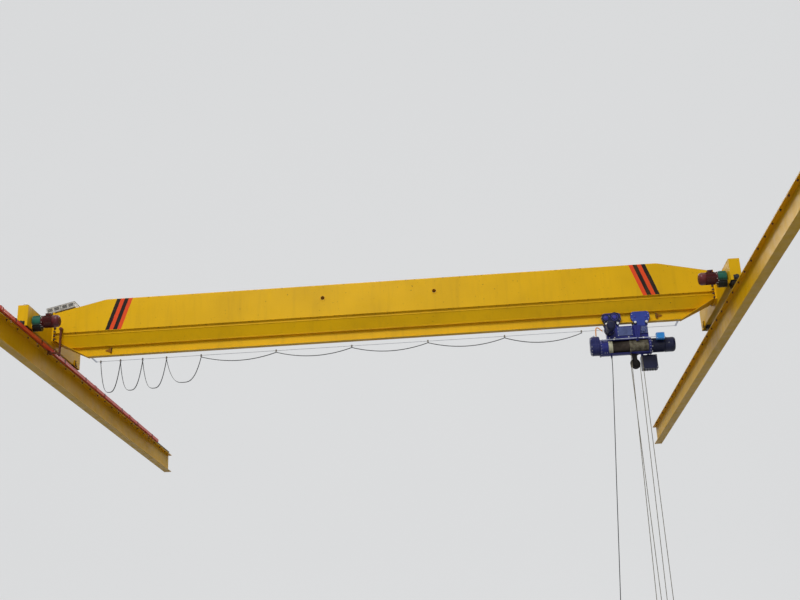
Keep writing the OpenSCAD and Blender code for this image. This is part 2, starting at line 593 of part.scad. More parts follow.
// Frame under the trolleys: two side plates cut to the shell, with lugs on the cross bolts, a deck
// between them, panels on the near side and a tapered strap that reaches down over the drum's window
module hoist_frame() color(navy) on_hoist() difference() {
    union() {
        for (y = [-1, 1]) translate([0, y * (lug_y + lug_t / 2), 0]) along_y(lug_t) difference() {
            union() {
                translate([-frame_half, -drum_z]) square([2 * frame_half, drum_z + frame_top]);
                for (s = [-1, 1], x = [-1, 1]) translate([s * trolley_pitch / 2 + x * cross_bolt_x, 0]) {
                    translate([-28, frame_top - 1]) square([56, cross_bolt_z - frame_top + 1]);
                    translate([0, cross_bolt_z]) circle(d = 56);
                }
            }
            for (s = [-1, 1], x = [-1, 1]) translate([s * trolley_pitch / 2 + x * cross_bolt_x, cross_bolt_z])
                circle(d = cross_bolt_d + 2 * run_gap);
        }
        translate([-frame_half, -lug_y - 1, frame_top - 12]) cube([2 * frame_half, 2 * lug_y + 2, 12]);
        for (x = [-1, 1]) translate([x * (frame_half - 6) - 6, -lug_y - 1, -drum_z])
            cube([12, 2 * lug_y + 2, drum_z + frame_top - 60]);
        translate([-225, -lug_y - lug_t - 12, frame_top - 235]) cube([340, 14, 208]);
        translate([265, -lug_y - lug_t - 30, frame_top - 205]) cube([190, 32, 170]);
        translate([360, -lug_y - lug_t - 30, frame_top - 120]) rod_y(120, 30);
        difference() {
            translate([0, -lug_y - lug_t - 43, 0]) along_y(92) polygon([
                [134, frame_top - 24], [310, frame_top - 24], [235, limit_z - 56], [165, limit_z - 56]]);
            translate([192, -lug_y - lug_t - 100, limit_z - 60]) cube([16, 24, frame_top - limit_z]);
        }
        translate([200, limit_y + 22, limit_z]) rod_y(44, 44);
        translate([200, limit_y, limit_z]) rod_x(36, 30);
    }
    shell_space();
    translate([200, limit_y, limit_z]) rod_x(limit_rod_d + 2 * run_gap, 60);
}

drum_shaft = 80;
shaft_out = 50;                // how far the drum's shaft stands out past the shell
wound_from = 20;
// Shell round the drum, with a wide window on the near side that the rope leaves through
module drum_shell() color(navy) on_hoist() difference() {
    union() {
        shell_space();
        translate([anchor[0] - 22, anchor[1] - 22, -drum_z - shell_d / 2 - 25]) cube([44, 44, 60]);
        translate([pendant_x, 0, pendant_top]) cylinder(d = 40, h = 60);
    }
    translate([shell_mid, 0, -drum_z]) rod_x(shell_d - 2 * shell_wall, shell_l + 2);
    translate([window_from, -shell_d, -drum_z - 0.43 * shell_d])
        cube([window_to - window_from, shell_d, 0.79 * shell_d]);
    translate([anchor[0], anchor[1], -drum_z - shell_d]) cylinder(d = rope_d + 2, h = shell_d / 2 + 5);
}

turns = floor((window_to - wound_from) / rope_d);
drum_rim = drum_d / 2 + 24;
// Drum with a broad rim at its left end and the rope wound on its right half
module rope_drum() color("#4a453c") on_hoist() translate([0, 0, -drum_z]) rotate([0, 90, 0]) rotate_extrude()
    polygon(concat(
        [[0, shell_from - shaft_out], [drum_shaft / 2, shell_from - shaft_out], [drum_shaft / 2, shell_from + 8],
         [drum_rim, shell_from + 8], [drum_rim, window_from + 104], [drum_d / 2, window_from + 104],
         [drum_d / 2, wound_from]],
        [for (i = [1 : turns]) each [[drum_d / 2 + 2, wound_from + i * rope_d + 1],
            [drum_d / 2 + rope_d * 0.9, wound_from + (i + 0.5) * rope_d]]],
        [[drum_d / 2 + 2, wound_from + (turns + 1) * rope_d], [drum_rim, wound_from + (turns + 1) * rope_d + 4],
         [drum_rim, shell_to - 8], [drum_shaft / 2, shell_to - 8], [drum_shaft / 2, shell_to + shaft_out],
         [0, shell_to + shaft_out]]));

hoist_gear_l = 203;
// Outline of the hoist's gearbox, in (Y, Z) from the drum's axis: round below and round above
module hoist_gear_outline(out) {
    circle(r = 165 + out);
    translate([0, 130]) circle(r = 150 + out);
    translate([-150 - out, 0]) square([300 + 2 * out, 130]);
}
// Gearbox at the left of the shell, with a cover on its outer side
module hoist_gearbox() color(navy) on_hoist() difference() {
    translate([shell_from, 0, -drum_z]) {
        translate([-hoist_gear_l / 2 + 14, 0, 0]) along_x(hoist_gear_l - 28) hoist_gear_outline(0);
        translate([-hoist_gear_l / 2, 0, 0]) along_x(hoist_gear_l) hoist_gear_outline(-16);
        translate([-hoist_gear_l, 0, 0]) rod_x(150, 24);
        translate([-hoist_gear_l, 0, 130]) rod_x(110, 16);
    }
    translate([shell_from, 0, -drum_z]) rod_x(drum_shaft + 2 * run_gap, 2 * shaft_out + 20);
}

// Motor at the right of the shell: a plain front part, a waist and the wider brake housing
module hoist_motor() color(navy) on_hoist() translate([shell_to, 0, -drum_z]) rotate([0, 90, 0]) rotate_extrude()
    let (r = hoist_motor_d / 2) polygon([
        [0, shaft_out + 10], [drum_shaft / 2 + run_gap, shaft_out + 10], [drum_shaft / 2 + run_gap, 0], [r + 30, 0],
        [r + 30, 18], [r - 4, 20], [r - 4, 30], [r, 34], [r, 295], [r - 12, 299], [r - 12, 309], [r + 13, 315],
        [r + 13, 500], [r + 5, 530], [r - 20, 552], [r - 60, 560], [0, 560]]);

controls_x = 283;              // from the hoist's middle to the box
controls_y = 100;
controls_l = 352;
controls_w = 210;
controls_h = 320;
controls_top = -drum_z - shell_d / 2 + 5;
// Electric box under the far side of the shell, on two straps
module hoist_controls() color("#14193f") on_hoist() difference() {
    translate([controls_x, controls_y, controls_top - controls_h]) {
        cube([controls_l, controls_w, controls_h]);
        for (x = [17, 147]) translate([x, 50, controls_h - 1]) cube([40, 40, 136]);
    }
    shell_space();
}

limit_box_x = 611;             // from the hoist's middle to the switch's box
// Limit switch: a rod along the shell on two holders, its rope stops, and the switch's box on the motor
module limit_switch() color("#9aa0a8") on_hoist() difference() {
    union() {
        translate([(limit_box_x + shell_from + 39) / 2, limit_y, limit_z])
            rod_x(limit_rod_d, limit_box_x - shell_from - 37);
        for (x = [-340, 330]) translate([x, limit_y, limit_z]) rod_x(34, 26);
        for (x = [shell_from + 45, shell_to - 40]) translate([x, limit_y - 14, limit_z - 14]) cube([14, 120, 28]);
        translate([limit_box_x, limit_y - 80, limit_z - 74]) cube([185, 100, 146]);
        translate([limit_box_x + 30, limit_y + 19, limit_z - 36]) cube([120, 140, 60]);
    }
    shell_space();
    translate([shell_to + hoist_motor_d, 0, -drum_z]) rod_x(hoist_motor_d, 2 * hoist_motor_d);
}

sheave_x = 110;                // from the hoist's middle to the sheaves' middle
sheave_t = 44;
sheave_rim = 14;
sheave_turn = 20;
block_pin = 40;
function groove_r(gap) = gap / 2 - rope_d / 2 - 0.5;
// A sheave with its rope groove, its axle along Y
module sheave(gap, bore) let (r = groove_r(gap)) rotate([90, 0, 0]) rotate_extrude() polygon([
    [bore / 2, -sheave_t / 2 - 4], [34, -sheave_t / 2 - 4], [34, -10], [r - 22, -7], [r - 14, -sheave_t / 2 + 4],
    [r + sheave_rim, -sheave_t / 2 + 4], [r, -rope_d / 2], [r, rope_d / 2],
    [r + sheave_rim, sheave_t / 2 - 4], [r - 14, sheave_t / 2 - 4], [r - 22, 7], [34, 10],
    [34, sheave_t / 2 + 4], [bore / 2, sheave_t / 2 + 4]]);
// Places children at the upper sheave's axle
module on_upper_sheave() on_hoist() translate([sheave_x, 0, -sheave_z]) rotate([0, 0, sheave_turn]) children();

// Bracket under the shell that holds the upper sheave between two plates
module upper_sheave_bracket() color("#17181c") difference() {
    on_upper_sheave() {
        for (y = [-1, 1]) translate([0, y * (sheave_t / 2 + 12), 0]) along_y(12) union() {
            circle(d = 120);
            translate([-45, 0]) square([90, sheave_z - drum_z - shell_d / 2 + 5]);
        }
        rod_y(block_pin, sheave_t + 60);
        translate([-90, -sheave_t / 2 - 18, sheave_z - drum_z - shell_d / 2 - 12]) cube([180, sheave_t + 36, 20]);
    }
    on_hoist() shell_space();
}
module upper_sheave() color("#2a2a2c") on_upper_sheave() sheave(upper_gap, block_pin + 2 * run_gap);

// One straight rope fall between two points
module fall(a, b) let (d = b - a, long = norm(d))
    translate(a) rotate([0, acos(d[2] / long), atan2(d[1], d[0])]) cylinder(d = rope_d, h = long);
// Point on the hook block's sheaves: right or left fall of the near or far sheave
function block_fall(right, far) = let (x = right * fall_gap / 2, y = far * sheave_pair / 2)
    [sheave_x + x * cos(block_turn) - y * sin(block_turn), x * sin(block_turn) + y * cos(block_turn), -block_z];
function upper_fall(right) = [sheave_x + right * upper_gap / 2 * cos(sheave_turn), right * upper_gap / 2 * sin(sheave_turn),
    -sheave_z];
anchor = [sheave_x + 180, 60, -drum_z - shell_d / 2 + 5];
drum_exit = [wound_from, -drum_d / 2 - rope_d / 2 - 1, -drum_z];
// Point on a fall, between its top and its end at the block, on the upper sheave's level
function fall_knot(top, end) = top + (end - top) * (top[2] + sheave_z) / (top[2] - end[2]);
// The rope's two stretches above the upper sheave's level: off the drum, and to the anchor
module rope_leads() color("#55524c") on_hoist() {
    fall(drum_exit, fall_knot(drum_exit, block_fall(-1, 1)));
    fall(anchor, fall_knot(anchor, block_fall(1, -1)));
}
// The four falls from there to the block: two on the near sheave and two on the far one
module rope_falls() color("#55524c") on_hoist() {
    fall(fall_knot(drum_exit, block_fall(-1, 1)), block_fall(-1, 1));
    fall(upper_fall(1), block_fall(1, 1));
    fall(upper_fall(-1), block_fall(-1, -1));
    fall(fall_knot(anchor, block_fall(1, -1)), block_fall(1, -1));
}

module on_block() on_hoist() translate([sheave_x, 0, -block_z]) rotate([0, 0, block_turn]) children();
cheek_y = sheave_pair / 2 - sheave_t / 2 - 20;
crosshead_z = -250;
shank_d = 56;
// Hook block: two sheaves on one axle, the cheek plates between them and the hook's crosshead below
module hook_block() color("#b81f1f") on_block() {
    for (y = [-1, 1]) {
        translate([0, y * sheave_pair / 2, 0]) sheave(fall_gap, block_pin - 1);
        translate([0, y * cheek_y, 0]) along_y(16) union() {
            circle(d = 200);
            translate([-70, crosshead_z - 60]) square([140, -crosshead_z + 60]);
        }
        translate([0, y * (sheave_pair / 2 + sheave_t / 2 + 12), 0]) along_y(6) difference() {
            circle(r = groove_r(fall_gap) + sheave_rim + 14);
            translate([-300, 60]) square([600, 300]);
        }
    }
    rod_y(block_pin, sheave_pair + sheave_t + 70);
    difference() {
        translate([-64, -cheek_y, crosshead_z - 45]) cube([128, 2 * cheek_y, 90]);
        translate([0, 0, crosshead_z - 50]) cylinder(d = shank_d + 2 * run_gap, h = 100);
    }
}

hook_r = 80;
hook_t = 66;
hook_low = -200;               // from the crosshead's middle to the middle of the hook's bowl
// Hook with its shank and nut in the block's crosshead
module hook() color("#b81f1f") on_block() translate([0, 0, crosshead_z]) {
    translate([0, 0, hook_low + hook_r + 5]) cylinder(d = shank_d, h = 85 - hook_low - hook_r);
    translate([0, 0, 45.3]) cylinder(d = 96, h = 34);
    translate([0, 0, hook_low]) {
        rotate([90, 0, 0]) rotate([0, 0, 90]) rotate_extrude(angle = 270) translate([hook_r, 0]) circle(d = hook_t);
        translate([0, 0, hook_r]) sphere(d = hook_t + 4);
        translate([hook_r, 0, -6]) cylinder(d1 = hook_t - 3, d2 = 20, h = 90);
    }
}

pendant_top = -drum_z - shell_d / 2 - 40;
pendant_x = -404;
pendant_d = 18;
// Route of the pendant cable from its gland, drawn aside towards its lower end
pendant_route = [[0, 0, 0], [0, 0, -80], [-12, 0, -320], [-55, 0, -900], [-112, 4, -1650], [-170, 9, -2400],
    [-228, 13, -3150], [-285, 16, -3900], [-342, 18, -4650], [-400, 20, -5400], [-450, 20, -6100], [-485, 20, -6700],
    [-505, 20, -7240], [-510, 20, -7580], [-510, 20, -7660]];
rings_between = 5;
ring_sides = 8;
// Point on a smooth curve through a route, part t of the way from point i to the next
function route_point(r, i, t) = let (a = r[max(i - 1, 0)], b = r[i], c = r[i + 1], d = r[min(i + 2, len(r) - 1)])
    b + (c - a) * t / 2 + (2 * a - 5 * b + 4 * c - d) * t * t / 2 + (3 * b - a - 3 * c + d) * t * t * t / 2;
// A tube of level rings along a route that hangs
module hanging_tube(route, d) let (rings = [for (i = [0 : len(route) - 2], t = [0 : rings_between - 1])
    route_point(route, i, t / rings_between), route[len(route) - 1]], last = len(rings) - 1) polyhedron(
    points = [for (p = rings, k = [0 : ring_sides - 1])
        p + d / 2 * [cos(360 * k / ring_sides), sin(360 * k / ring_sides), 0]],
    faces = concat(
        [[for (k = [0 : ring_sides - 1]) k]],
        [for (i = [0 : last - 1], k = [0 : ring_sides - 1]) let (a = i * ring_sides + k,
            b = i * ring_sides + (k + 1) % ring_sides) each [[a, a + ring_sides, b + ring_sides], [a, b + ring_sides, b]]],
        [[for (k = [ring_sides - 1 : -1 : 0]) last * ring_sides + k]]));
module pendant_cable() color("#1d1d1d") on_hoist() translate([pendant_x, 0, pendant_top])
    hanging_tube(pendant_route, pendant_d);

// Push-button station on the pendant cable
module pendant_station() color("#e0b400") on_hoist()
    translate([pendant_x, 0, pendant_top] + pendant_route[len(pendant_route) - 1]) {
        translate([0, 0, -60]) cylinder(d1 = 44, d2 = 26, h = 60);
        translate([-38, -32, -400]) cube([76, 64, 341]);
    }

left_runway_beam();
right_runway_beam();
crane_rails();
conductor_bar();
conductor_bar_brackets();
girder_box();
girder_track();
girder_end_plates();
trolley_stops();
left_end_carriage();
right_end_carriage();
carriage_buffers();
wheel_bearings();
left_driven_wheel();
right_driven_wheel();
left_idle_wheel();
right_idle_wheel();
left_travel_motor();
right_travel_motor();
left_travel_gearbox();
right_travel_gearbox();
control_box();
warning_sounder();
current_collector();
festoon_wire();
festoon_cable();
driven_trolley();
idle_trolley();
trolley_wheels();
trolley_motor();
hoist_frame();
drum_shell();
rope_drum();
hoist_gearbox();
hoist_motor();
hoist_controls();
limit_switch();
upper_sheave_bracket();
upper_sheave();
rope_leads();
rope_falls();
hook_block();
hook();
pendant_cable();
pendant_station();
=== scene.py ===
import math

import bpy
import numpy as np
from bpy.props import FloatProperty, FloatVectorProperty, IntProperty, PointerProperty
from bpy.types import Operator, Panel, PropertyGroup
from mathutils import Euler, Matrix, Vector


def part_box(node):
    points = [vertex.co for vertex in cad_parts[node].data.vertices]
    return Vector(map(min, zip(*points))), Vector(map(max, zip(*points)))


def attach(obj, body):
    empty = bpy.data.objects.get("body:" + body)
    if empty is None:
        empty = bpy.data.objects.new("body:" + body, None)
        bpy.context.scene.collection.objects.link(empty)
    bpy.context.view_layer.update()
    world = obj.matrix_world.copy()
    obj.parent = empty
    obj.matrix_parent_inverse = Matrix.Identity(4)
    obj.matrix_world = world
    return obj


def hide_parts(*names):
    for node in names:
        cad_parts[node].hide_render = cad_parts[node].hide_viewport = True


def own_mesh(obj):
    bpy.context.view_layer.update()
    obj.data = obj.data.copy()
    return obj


bl_info = {
    "name": "Bridge Crane",
    "version": (1, 0, 0),
    "blender": (4, 5, 0),
    "location": "View3D > Sidebar > Crane",
    "description": "Dresses the solids of a single-girder bridge crane with paint, bolts, ropes and cables",
    "category": "Object",
}

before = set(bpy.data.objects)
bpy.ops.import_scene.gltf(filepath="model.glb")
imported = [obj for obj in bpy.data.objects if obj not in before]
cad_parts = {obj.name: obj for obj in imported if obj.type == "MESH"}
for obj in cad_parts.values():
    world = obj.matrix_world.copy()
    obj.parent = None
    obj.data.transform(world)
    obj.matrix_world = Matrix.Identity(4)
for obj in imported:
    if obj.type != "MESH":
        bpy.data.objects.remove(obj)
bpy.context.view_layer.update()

# Places read from the solids, in metres
LOW = {name: np.array(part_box(name)[0]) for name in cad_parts}
HIGH = {name: np.array(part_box(name)[1]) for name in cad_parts}
MIDDLE = {name: (LOW[name] + HIGH[name]) / 2 for name in LOW}
SPAN = HIGH["right_runway_beam"][0] - HIGH["left_runway_beam"][0]
MID = SPAN / 2
BEAM_TOP = HIGH["left_runway_beam"][2]
TRACK_Z = LOW["girder_track"][2]
# Mid-span on the level of the beams' tops, and under the track between the two trolleys
BRIDGE = np.array([MID, MIDDLE["girder_box"][1], BEAM_TOP])
HOIST = np.array([(MIDDLE["driven_trolley"][0] + MIDDLE["idle_trolley"][0]) / 2, BRIDGE[1], TRACK_Z])
SHEAVE = MIDDLE["upper_sheave"]
BLOCK = np.array([SHEAVE[0], BRIDGE[1], TRACK_Z - 8.900])

# Places that several pieces share, in millimetres on the bridge
CARRIAGE_X, END_PLATE_X = 7900, 7740
WHEEL_Y, WHEEL_Z, MOTOR_Z = 1400, 255.3, 367.3
SLEEVE_X, SLEEVE_Z = 1315, 960
# The same on the hoist, and how far the block and the upper sheave are turned about the vertical
DRUM_Z, SHELL_R = -570, 190
SHEAVE_X, SHEAVE_Z, BLOCK_Z = 110, -985, -8900
BLOCK_TURN, SHEAVE_TURN = math.radians(45), math.radians(20)
# The drum's grooves: how many, their pitch, where the first starts, and the radii of bottom and land
GROOVES, GROOVE_PITCH, FIRST_GROOVE, GROOVE_R, LAND_R = 28, 0.015, 0.020, 0.1405, 0.1425
# A strand of the hoisting rope goes round once in so many rope diameters
LAY = 6.6
NEAR, FAR, UP, DOWN, LEFT, RIGHT = (0, -1, 0), (0, 1, 0), (0, 0, 1), (0, 0, -1), (-1, 0, 0), (1, 0, 0)


# ---- Materials


def linear(colour):
    """An sRGB hex colour as linear red, green, blue and an alpha of 1."""
    parts = [int(colour[i:i + 2], 16) / 255 for i in (1, 3, 5)]
    return tuple(c / 12.92 if c <= 0.04045 else ((c + 0.055) / 1.055) ** 2.4 for c in parts) + (1.0,)


def hex_of(colour):
    """A colour property's three sRGB shares as a hex colour."""
    return "#%02x%02x%02x" % tuple(int(round(c * 255)) for c in colour)


def toned(colour, gain, lift=0.0):
    """A linear colour whose red, green and blue are times gain plus lift."""
    return tuple(min(1.0, c * gain + lift) for c in colour[:3]) + (1.0,)


def feed(tree, entry, source):
    """Feeds an input from a socket, from a node's first output, or with a plain value."""
    if isinstance(source, bpy.types.Node):
        source = source.outputs[0]
    if isinstance(source, bpy.types.NodeSocket):
        tree.links.new(source, entry)
    else:
        entry.default_value = source


def add_node(tree, kind, inputs=None, stops=None, **settings):
    """Adds one node. Inputs go by name or number to a value or to what they are linked from, and stops
    fill a colour ramp."""
    made = tree.nodes.new("ShaderNode" + kind)
    for key, value in settings.items():
        setattr(made, key, value)
    for key, source in (inputs or {}).items():
        feed(tree, made.inputs[key], source)
    for index, (position, colour) in enumerate(stops or ()):
        if index >= len(made.color_ramp.elements):
            made.color_ramp.elements.new(1.0)
        element = made.color_ramp.elements[index]
        element.position = position
        element.color = colour if isinstance(colour, tuple) else (colour, colour, colour, 1.0)
    return made


def new_material(name):
    """An empty material with its tree, its shader and its object coordinates."""
    made = bpy.data.materials.new(name)
    made.use_nodes = True
    tree = made.node_tree
    tree.nodes.clear()
    shader = add_node(tree, "BsdfPrincipled")
    add_node(tree, "OutputMaterial", {"Surface": shader})
    return made, tree, shader, add_node(tree, "TexCoord").outputs["Object"]


def broken_up(tree, pattern, ramp, base, other):
    """A base colour with another that shows where a pattern is high, by a ramp from pattern to share.
    Gives the mixed colour and the share."""
    share = add_node(tree, "ValToRGB", {0: pattern}, ramp)
    return add_node(tree, "Mix", {0: share, 6: base, 7: other}, data_type="RGBA").outputs[2], share


def skin(surface, colour, roughness, grains, detail, strength, depth):
    """Gives a material its colour and roughness, and a fine relief: a noise with so many grains a metre
    whose height is depth metres times strength."""
    made, tree, shader, place = surface
    grain = add_node(tree, "TexNoise", {"Vector": place, "Scale": grains, "Detail": detail})
    relief = add_node(tree, "Bump", {"Height": grain, "Strength": strength, "Distance": depth})
    for key, source in (("Base Color", colour), ("Roughness", roughness), ("Normal", relief)):
        feed(tree, shader.inputs[key], source)
    return made


def warning_bands(tree, place, base):
    """Four hand-masked bands, red and black by turns, that lean outwards near each end of the girder's
    web: the distance from mid-span plus a third of the height says which band a point is in."""
    web_low, web_high = TRACK_Z + 0.580, HIGH["girder_box"][2] - 0.010
    axes = add_node(tree, "SeparateXYZ", {0: place})
    from_mid = add_node(tree, "Math", {0: axes.outputs[0], 1: MID}, operation="SUBTRACT")
    away = add_node(tree, "Math", {0: from_mid}, operation="ABSOLUTE")
    rise = add_node(tree, "Math", {0: axes.outputs[2], 1: web_low}, operation="SUBTRACT")
    lean = add_node(tree, "Math", {0: rise, 1: 0.33, 2: away}, operation="MULTIPLY_ADD")
    wobble = add_node(tree, "TexNoise", {"Vector": place, "Scale": 9.0, "Detail": 1.0})
    edge = add_node(tree, "Math", {0: wobble, 1: 0.012, 2: lean}, operation="MULTIPLY_ADD")
    across = add_node(tree, "MapRange", {"Value": edge, 1: 6.0, 2: 6.6})
    red, black = linear("#dd4a20"), linear("#1f1714")
    bands = add_node(tree, "ValToRGB", {0: across}, [
        (0.0, red), (0.382, black), (0.542, red), (0.702, black)])
    inside = add_node(tree, "ValToRGB", {0: across}, [(0.0, 0.0), (0.222, 1.0), (0.862, 0.0)])
    for ramp in (bands, inside):
        ramp.color_ramp.interpolation = "CONSTANT"
    above = add_node(tree, "Math", {0: axes.outputs[2], 1: web_low}, operation="GREATER_THAN")
    below = add_node(tree, "Math", {0: axes.outputs[2], 1: web_high}, operation="LESS_THAN")
    upright = add_node(tree, "Math", {0: above, 1: below}, operation="MULTIPLY")
    mask = add_node(tree, "Math", {0: inside, 1: upright}, operation="MULTIPLY")
    return add_node(tree, "Mix", {0: mask, 6: base, 7: bands}, data_type="RGBA").outputs[2]


def structural_enamel(name, colour, striped=False):
    """Sprayed alkyd enamel on structural plate. The eye gets a film that is uneven over a metre or so,
    faint upright runs of workshop dust, sparse dark chips, and a skin whose gloss changes in patches.
    Striped, it has the girder's warning bands, and more chips along its lips and upper edges."""
    surface = made, tree, shader, place = new_material(name)
    film = add_node(tree, "TexNoise", {"Vector": place, "Scale": 0.8, "Detail": 3.0})
    deep = linear(colour)
    base, _ = broken_up(tree, film, [(0.36, 0.0), (0.68, 1.0)], deep, toned(deep, 0.88))
    spots = add_node(tree, "TexNoise", {"Vector": place, "Scale": 26.0, "Detail": 2.0})
    if striped:
        base = warning_bands(tree, place, base)
        rise = add_node(tree, "SeparateXYZ", {0: place}).outputs[2]
        height = add_node(tree, "MapRange", {"Value": rise, 1: TRACK_Z, 2: HIGH["girder_box"][2]})
        edges = add_node(tree, "ValToRGB", {0: height}, [
            (0.360, 0.0), (0.372, 0.13), (0.378, 0.0), (0.400, 0.0), (0.412, 0.15), (0.440, 0.0),
            (0.965, 0.0), (0.990, 0.13), (0.998, 0.0)])
        spots = add_node(tree, "Math", {0: spots, 1: edges}, operation="ADD")
    tall = add_node(tree, "Mapping", {"Vector": place, "Scale": (7.0, 7.0, 0.6)})
    runs = add_node(tree, "TexNoise", {"Vector": tall, "Scale": 1.0, "Detail": 4.0, "Roughness": 0.6})
    dusty, _ = broken_up(tree, runs, [(0.50, 0.0), (0.80, 0.20)], base, linear("#94701c"))
    worn, _ = broken_up(tree, spots, [(0.735, 0.0), (0.760, 0.75)], dusty, linear("#3a2a16"))
    patches = add_node(tree, "TexNoise", {"Vector": place, "Scale": 5.0, "Detail": 3.0})
    gloss = add_node(tree, "ValToRGB", {0: patches}, [(0.3, 0.34), (0.7, 0.52)])
    shader.inputs["Specular IOR Level"].default_value = 0.14
    return skin(surface, worn, gloss, 38.0, 2.0, 0.07, 0.0015)


def weathered_steel(name, colour, rust, share, roughness, metallic=0.8):
    """Rolled, forged or cast steel left bare. The eye gets a dull metal with brown oxide in patches of
    5 to 10 cm, duller where it is rusty, under fine rolling marks drawn coarser than the real ones."""
    surface = made, tree, shader, place = new_material(name)
    patches = add_node(tree, "TexNoise", {"Vector": place, "Scale": 14.0, "Detail": 5.0})
    base, oxide = broken_up(tree, patches, [(0.42, 0.0), (0.68, share)], linear(colour), linear(rust))
    dull = add_node(tree, "ValToRGB", {0: oxide}, [(0.0, roughness), (1.0, 0.9)])
    shader.inputs["Metallic"].default_value = metallic
    return skin(surface, base, dull, 170.0, 2.0, 0.14, 0.0006)


def machine_enamel(name, colour, roughness=0.36, dust=0.35, dark_below=None):
    """Thick enamel on castings and drawn housings. The eye gets a deep colour with an orange-peel skin,
    lighter where it is rubbed, grey dust on everything that faces up and a few dark spots of oil. Below a
    given height the colour turns nearly black, with a wavy edge."""
    surface = made, tree, shader, place = new_material(name)
    deep = linear(colour)
    rubbed = add_node(tree, "TexNoise", {"Vector": place, "Scale": 7.0, "Detail": 4.0})
    base, _ = broken_up(tree, rubbed, [(0.38, 0.0), (0.70, 1.0)], deep, toned(deep, 1.25, 0.004))
    oil = add_node(tree, "TexNoise", {"Vector": place, "Scale": 11.0, "Detail": 3.0})
    spotted_and_dark_below, _ = broken_up(tree, oil, [(0.60, 0.0), (0.72, 0.55)], base, toned(deep, 0.45))
    # Below the given height the colour turns nearly black, with a wavy edge: darker towards the bottom
    if dark_below:
        height = add_node(tree, "SeparateXYZ", {0: place}).outputs[2]
        wavy = add_node(tree, "Math", {0: rubbed, 1: 0.08, 2: height}, operation="MULTIPLY_ADD")
        film = add_node(tree, "MapRange", {"Value": wavy, 1: dark_below + 0.02, 2: dark_below + 0.07})
        spotted_and_dark_below = add_node(tree, "Mix", {0: film, 6: linear("#151a19"), 7: spotted_and_dark_below}, data_type="RGBA").outputs[2]
    normal = add_node(tree, "NewGeometry").outputs["Normal"]
    upward = add_node(tree, "SeparateXYZ", {0: normal}).outputs[2]
    dusty, settled = broken_up(tree, upward, [(0.25, 0.0), (1.0, dust)], spotted_and_dark_below, linear("#8d8a80"))
    gloss = add_node(tree, "ValToRGB", {0: settled}, [(0.0, roughness), (dust, 0.75)])
    shader.inputs["Specular IOR Level"].default_value = 0.22
    return skin(surface, dusty, gloss, 230.0, 1.0, 0.10, 0.0006)


def moulded(name, colour, roughness=0.5):
    """Moulded or extruded rubber and plastic. The eye gets an even colour with a slight grey bloom and a
    fine matt grain, drawn at 1.5 mm so that it shows."""
    surface = made, tree, shader, place = new_material(name)
    deep = linear(colour)
    cloudy = add_node(tree, "TexNoise", {"Vector": place, "Scale": 18.0, "Detail": 4.0})
    base, _ = broken_up(tree, cloudy, [(0.4, 0.0), (0.75, 1.0)], deep, toned(deep, 1.2, 0.012))
    return skin(surface, base, roughness, 600.0, 1.0, 0.08, 0.0003)


def seen_directly(tree):
    """1 on rays from the camera and on those that reach a surface by mirror or glass, 0 on other light."""
    path = add_node(tree, "LightPath").outputs
    mirrored = add_node(tree, "Math", {0: path["Is Glossy Ray"], 1: path["Is Transmission Ray"]},
                        operation="MAXIMUM")
    return add_node(tree, "Math", {0: path["Is Camera Ray"], 1: mirrored}, operation="MAXIMUM")


def studio_paper(name):
    """Matt paper. It is pale to the camera and in reflections, with the crane's shadow still on it, and
    darker to all other light, so that little comes back up under the crane."""
    made, tree, shader, place = new_material(name)
    cloud = add_node(tree, "TexNoise", {"Vector": place, "Scale": 0.15, "Detail": 2.0})
    tone = add_node(tree, "ValToRGB", {0: cloud}, [(0.3, linear("#dfe0e1")), (0.7, linear("#e4e5e5"))])
    seen = seen_directly(tree)
    paper = add_node(tree, "Mix", {0: seen, 6: linear("#8f9092"), 7: tone}, data_type="RGBA").outputs[2]
    feed(tree, shader.inputs["Base Color"], paper)
    feed(tree, shader.inputs["Roughness"], 0.9)
    glow = add_node(tree, "Emission", {"Color": linear("#eeeff0"), "Strength": 1.0})
    share = add_node(tree, "Math", {0: seen, 1: 0.75}, operation="MULTIPLY")
    output = next(node for node in tree.nodes if node.type == "OUTPUT_MATERIAL")
    feed(tree, output.inputs["Surface"], add_node(tree, "MixShader", {0: share, 1: shader, 2: glow}))
    return made


PAINTS = {}


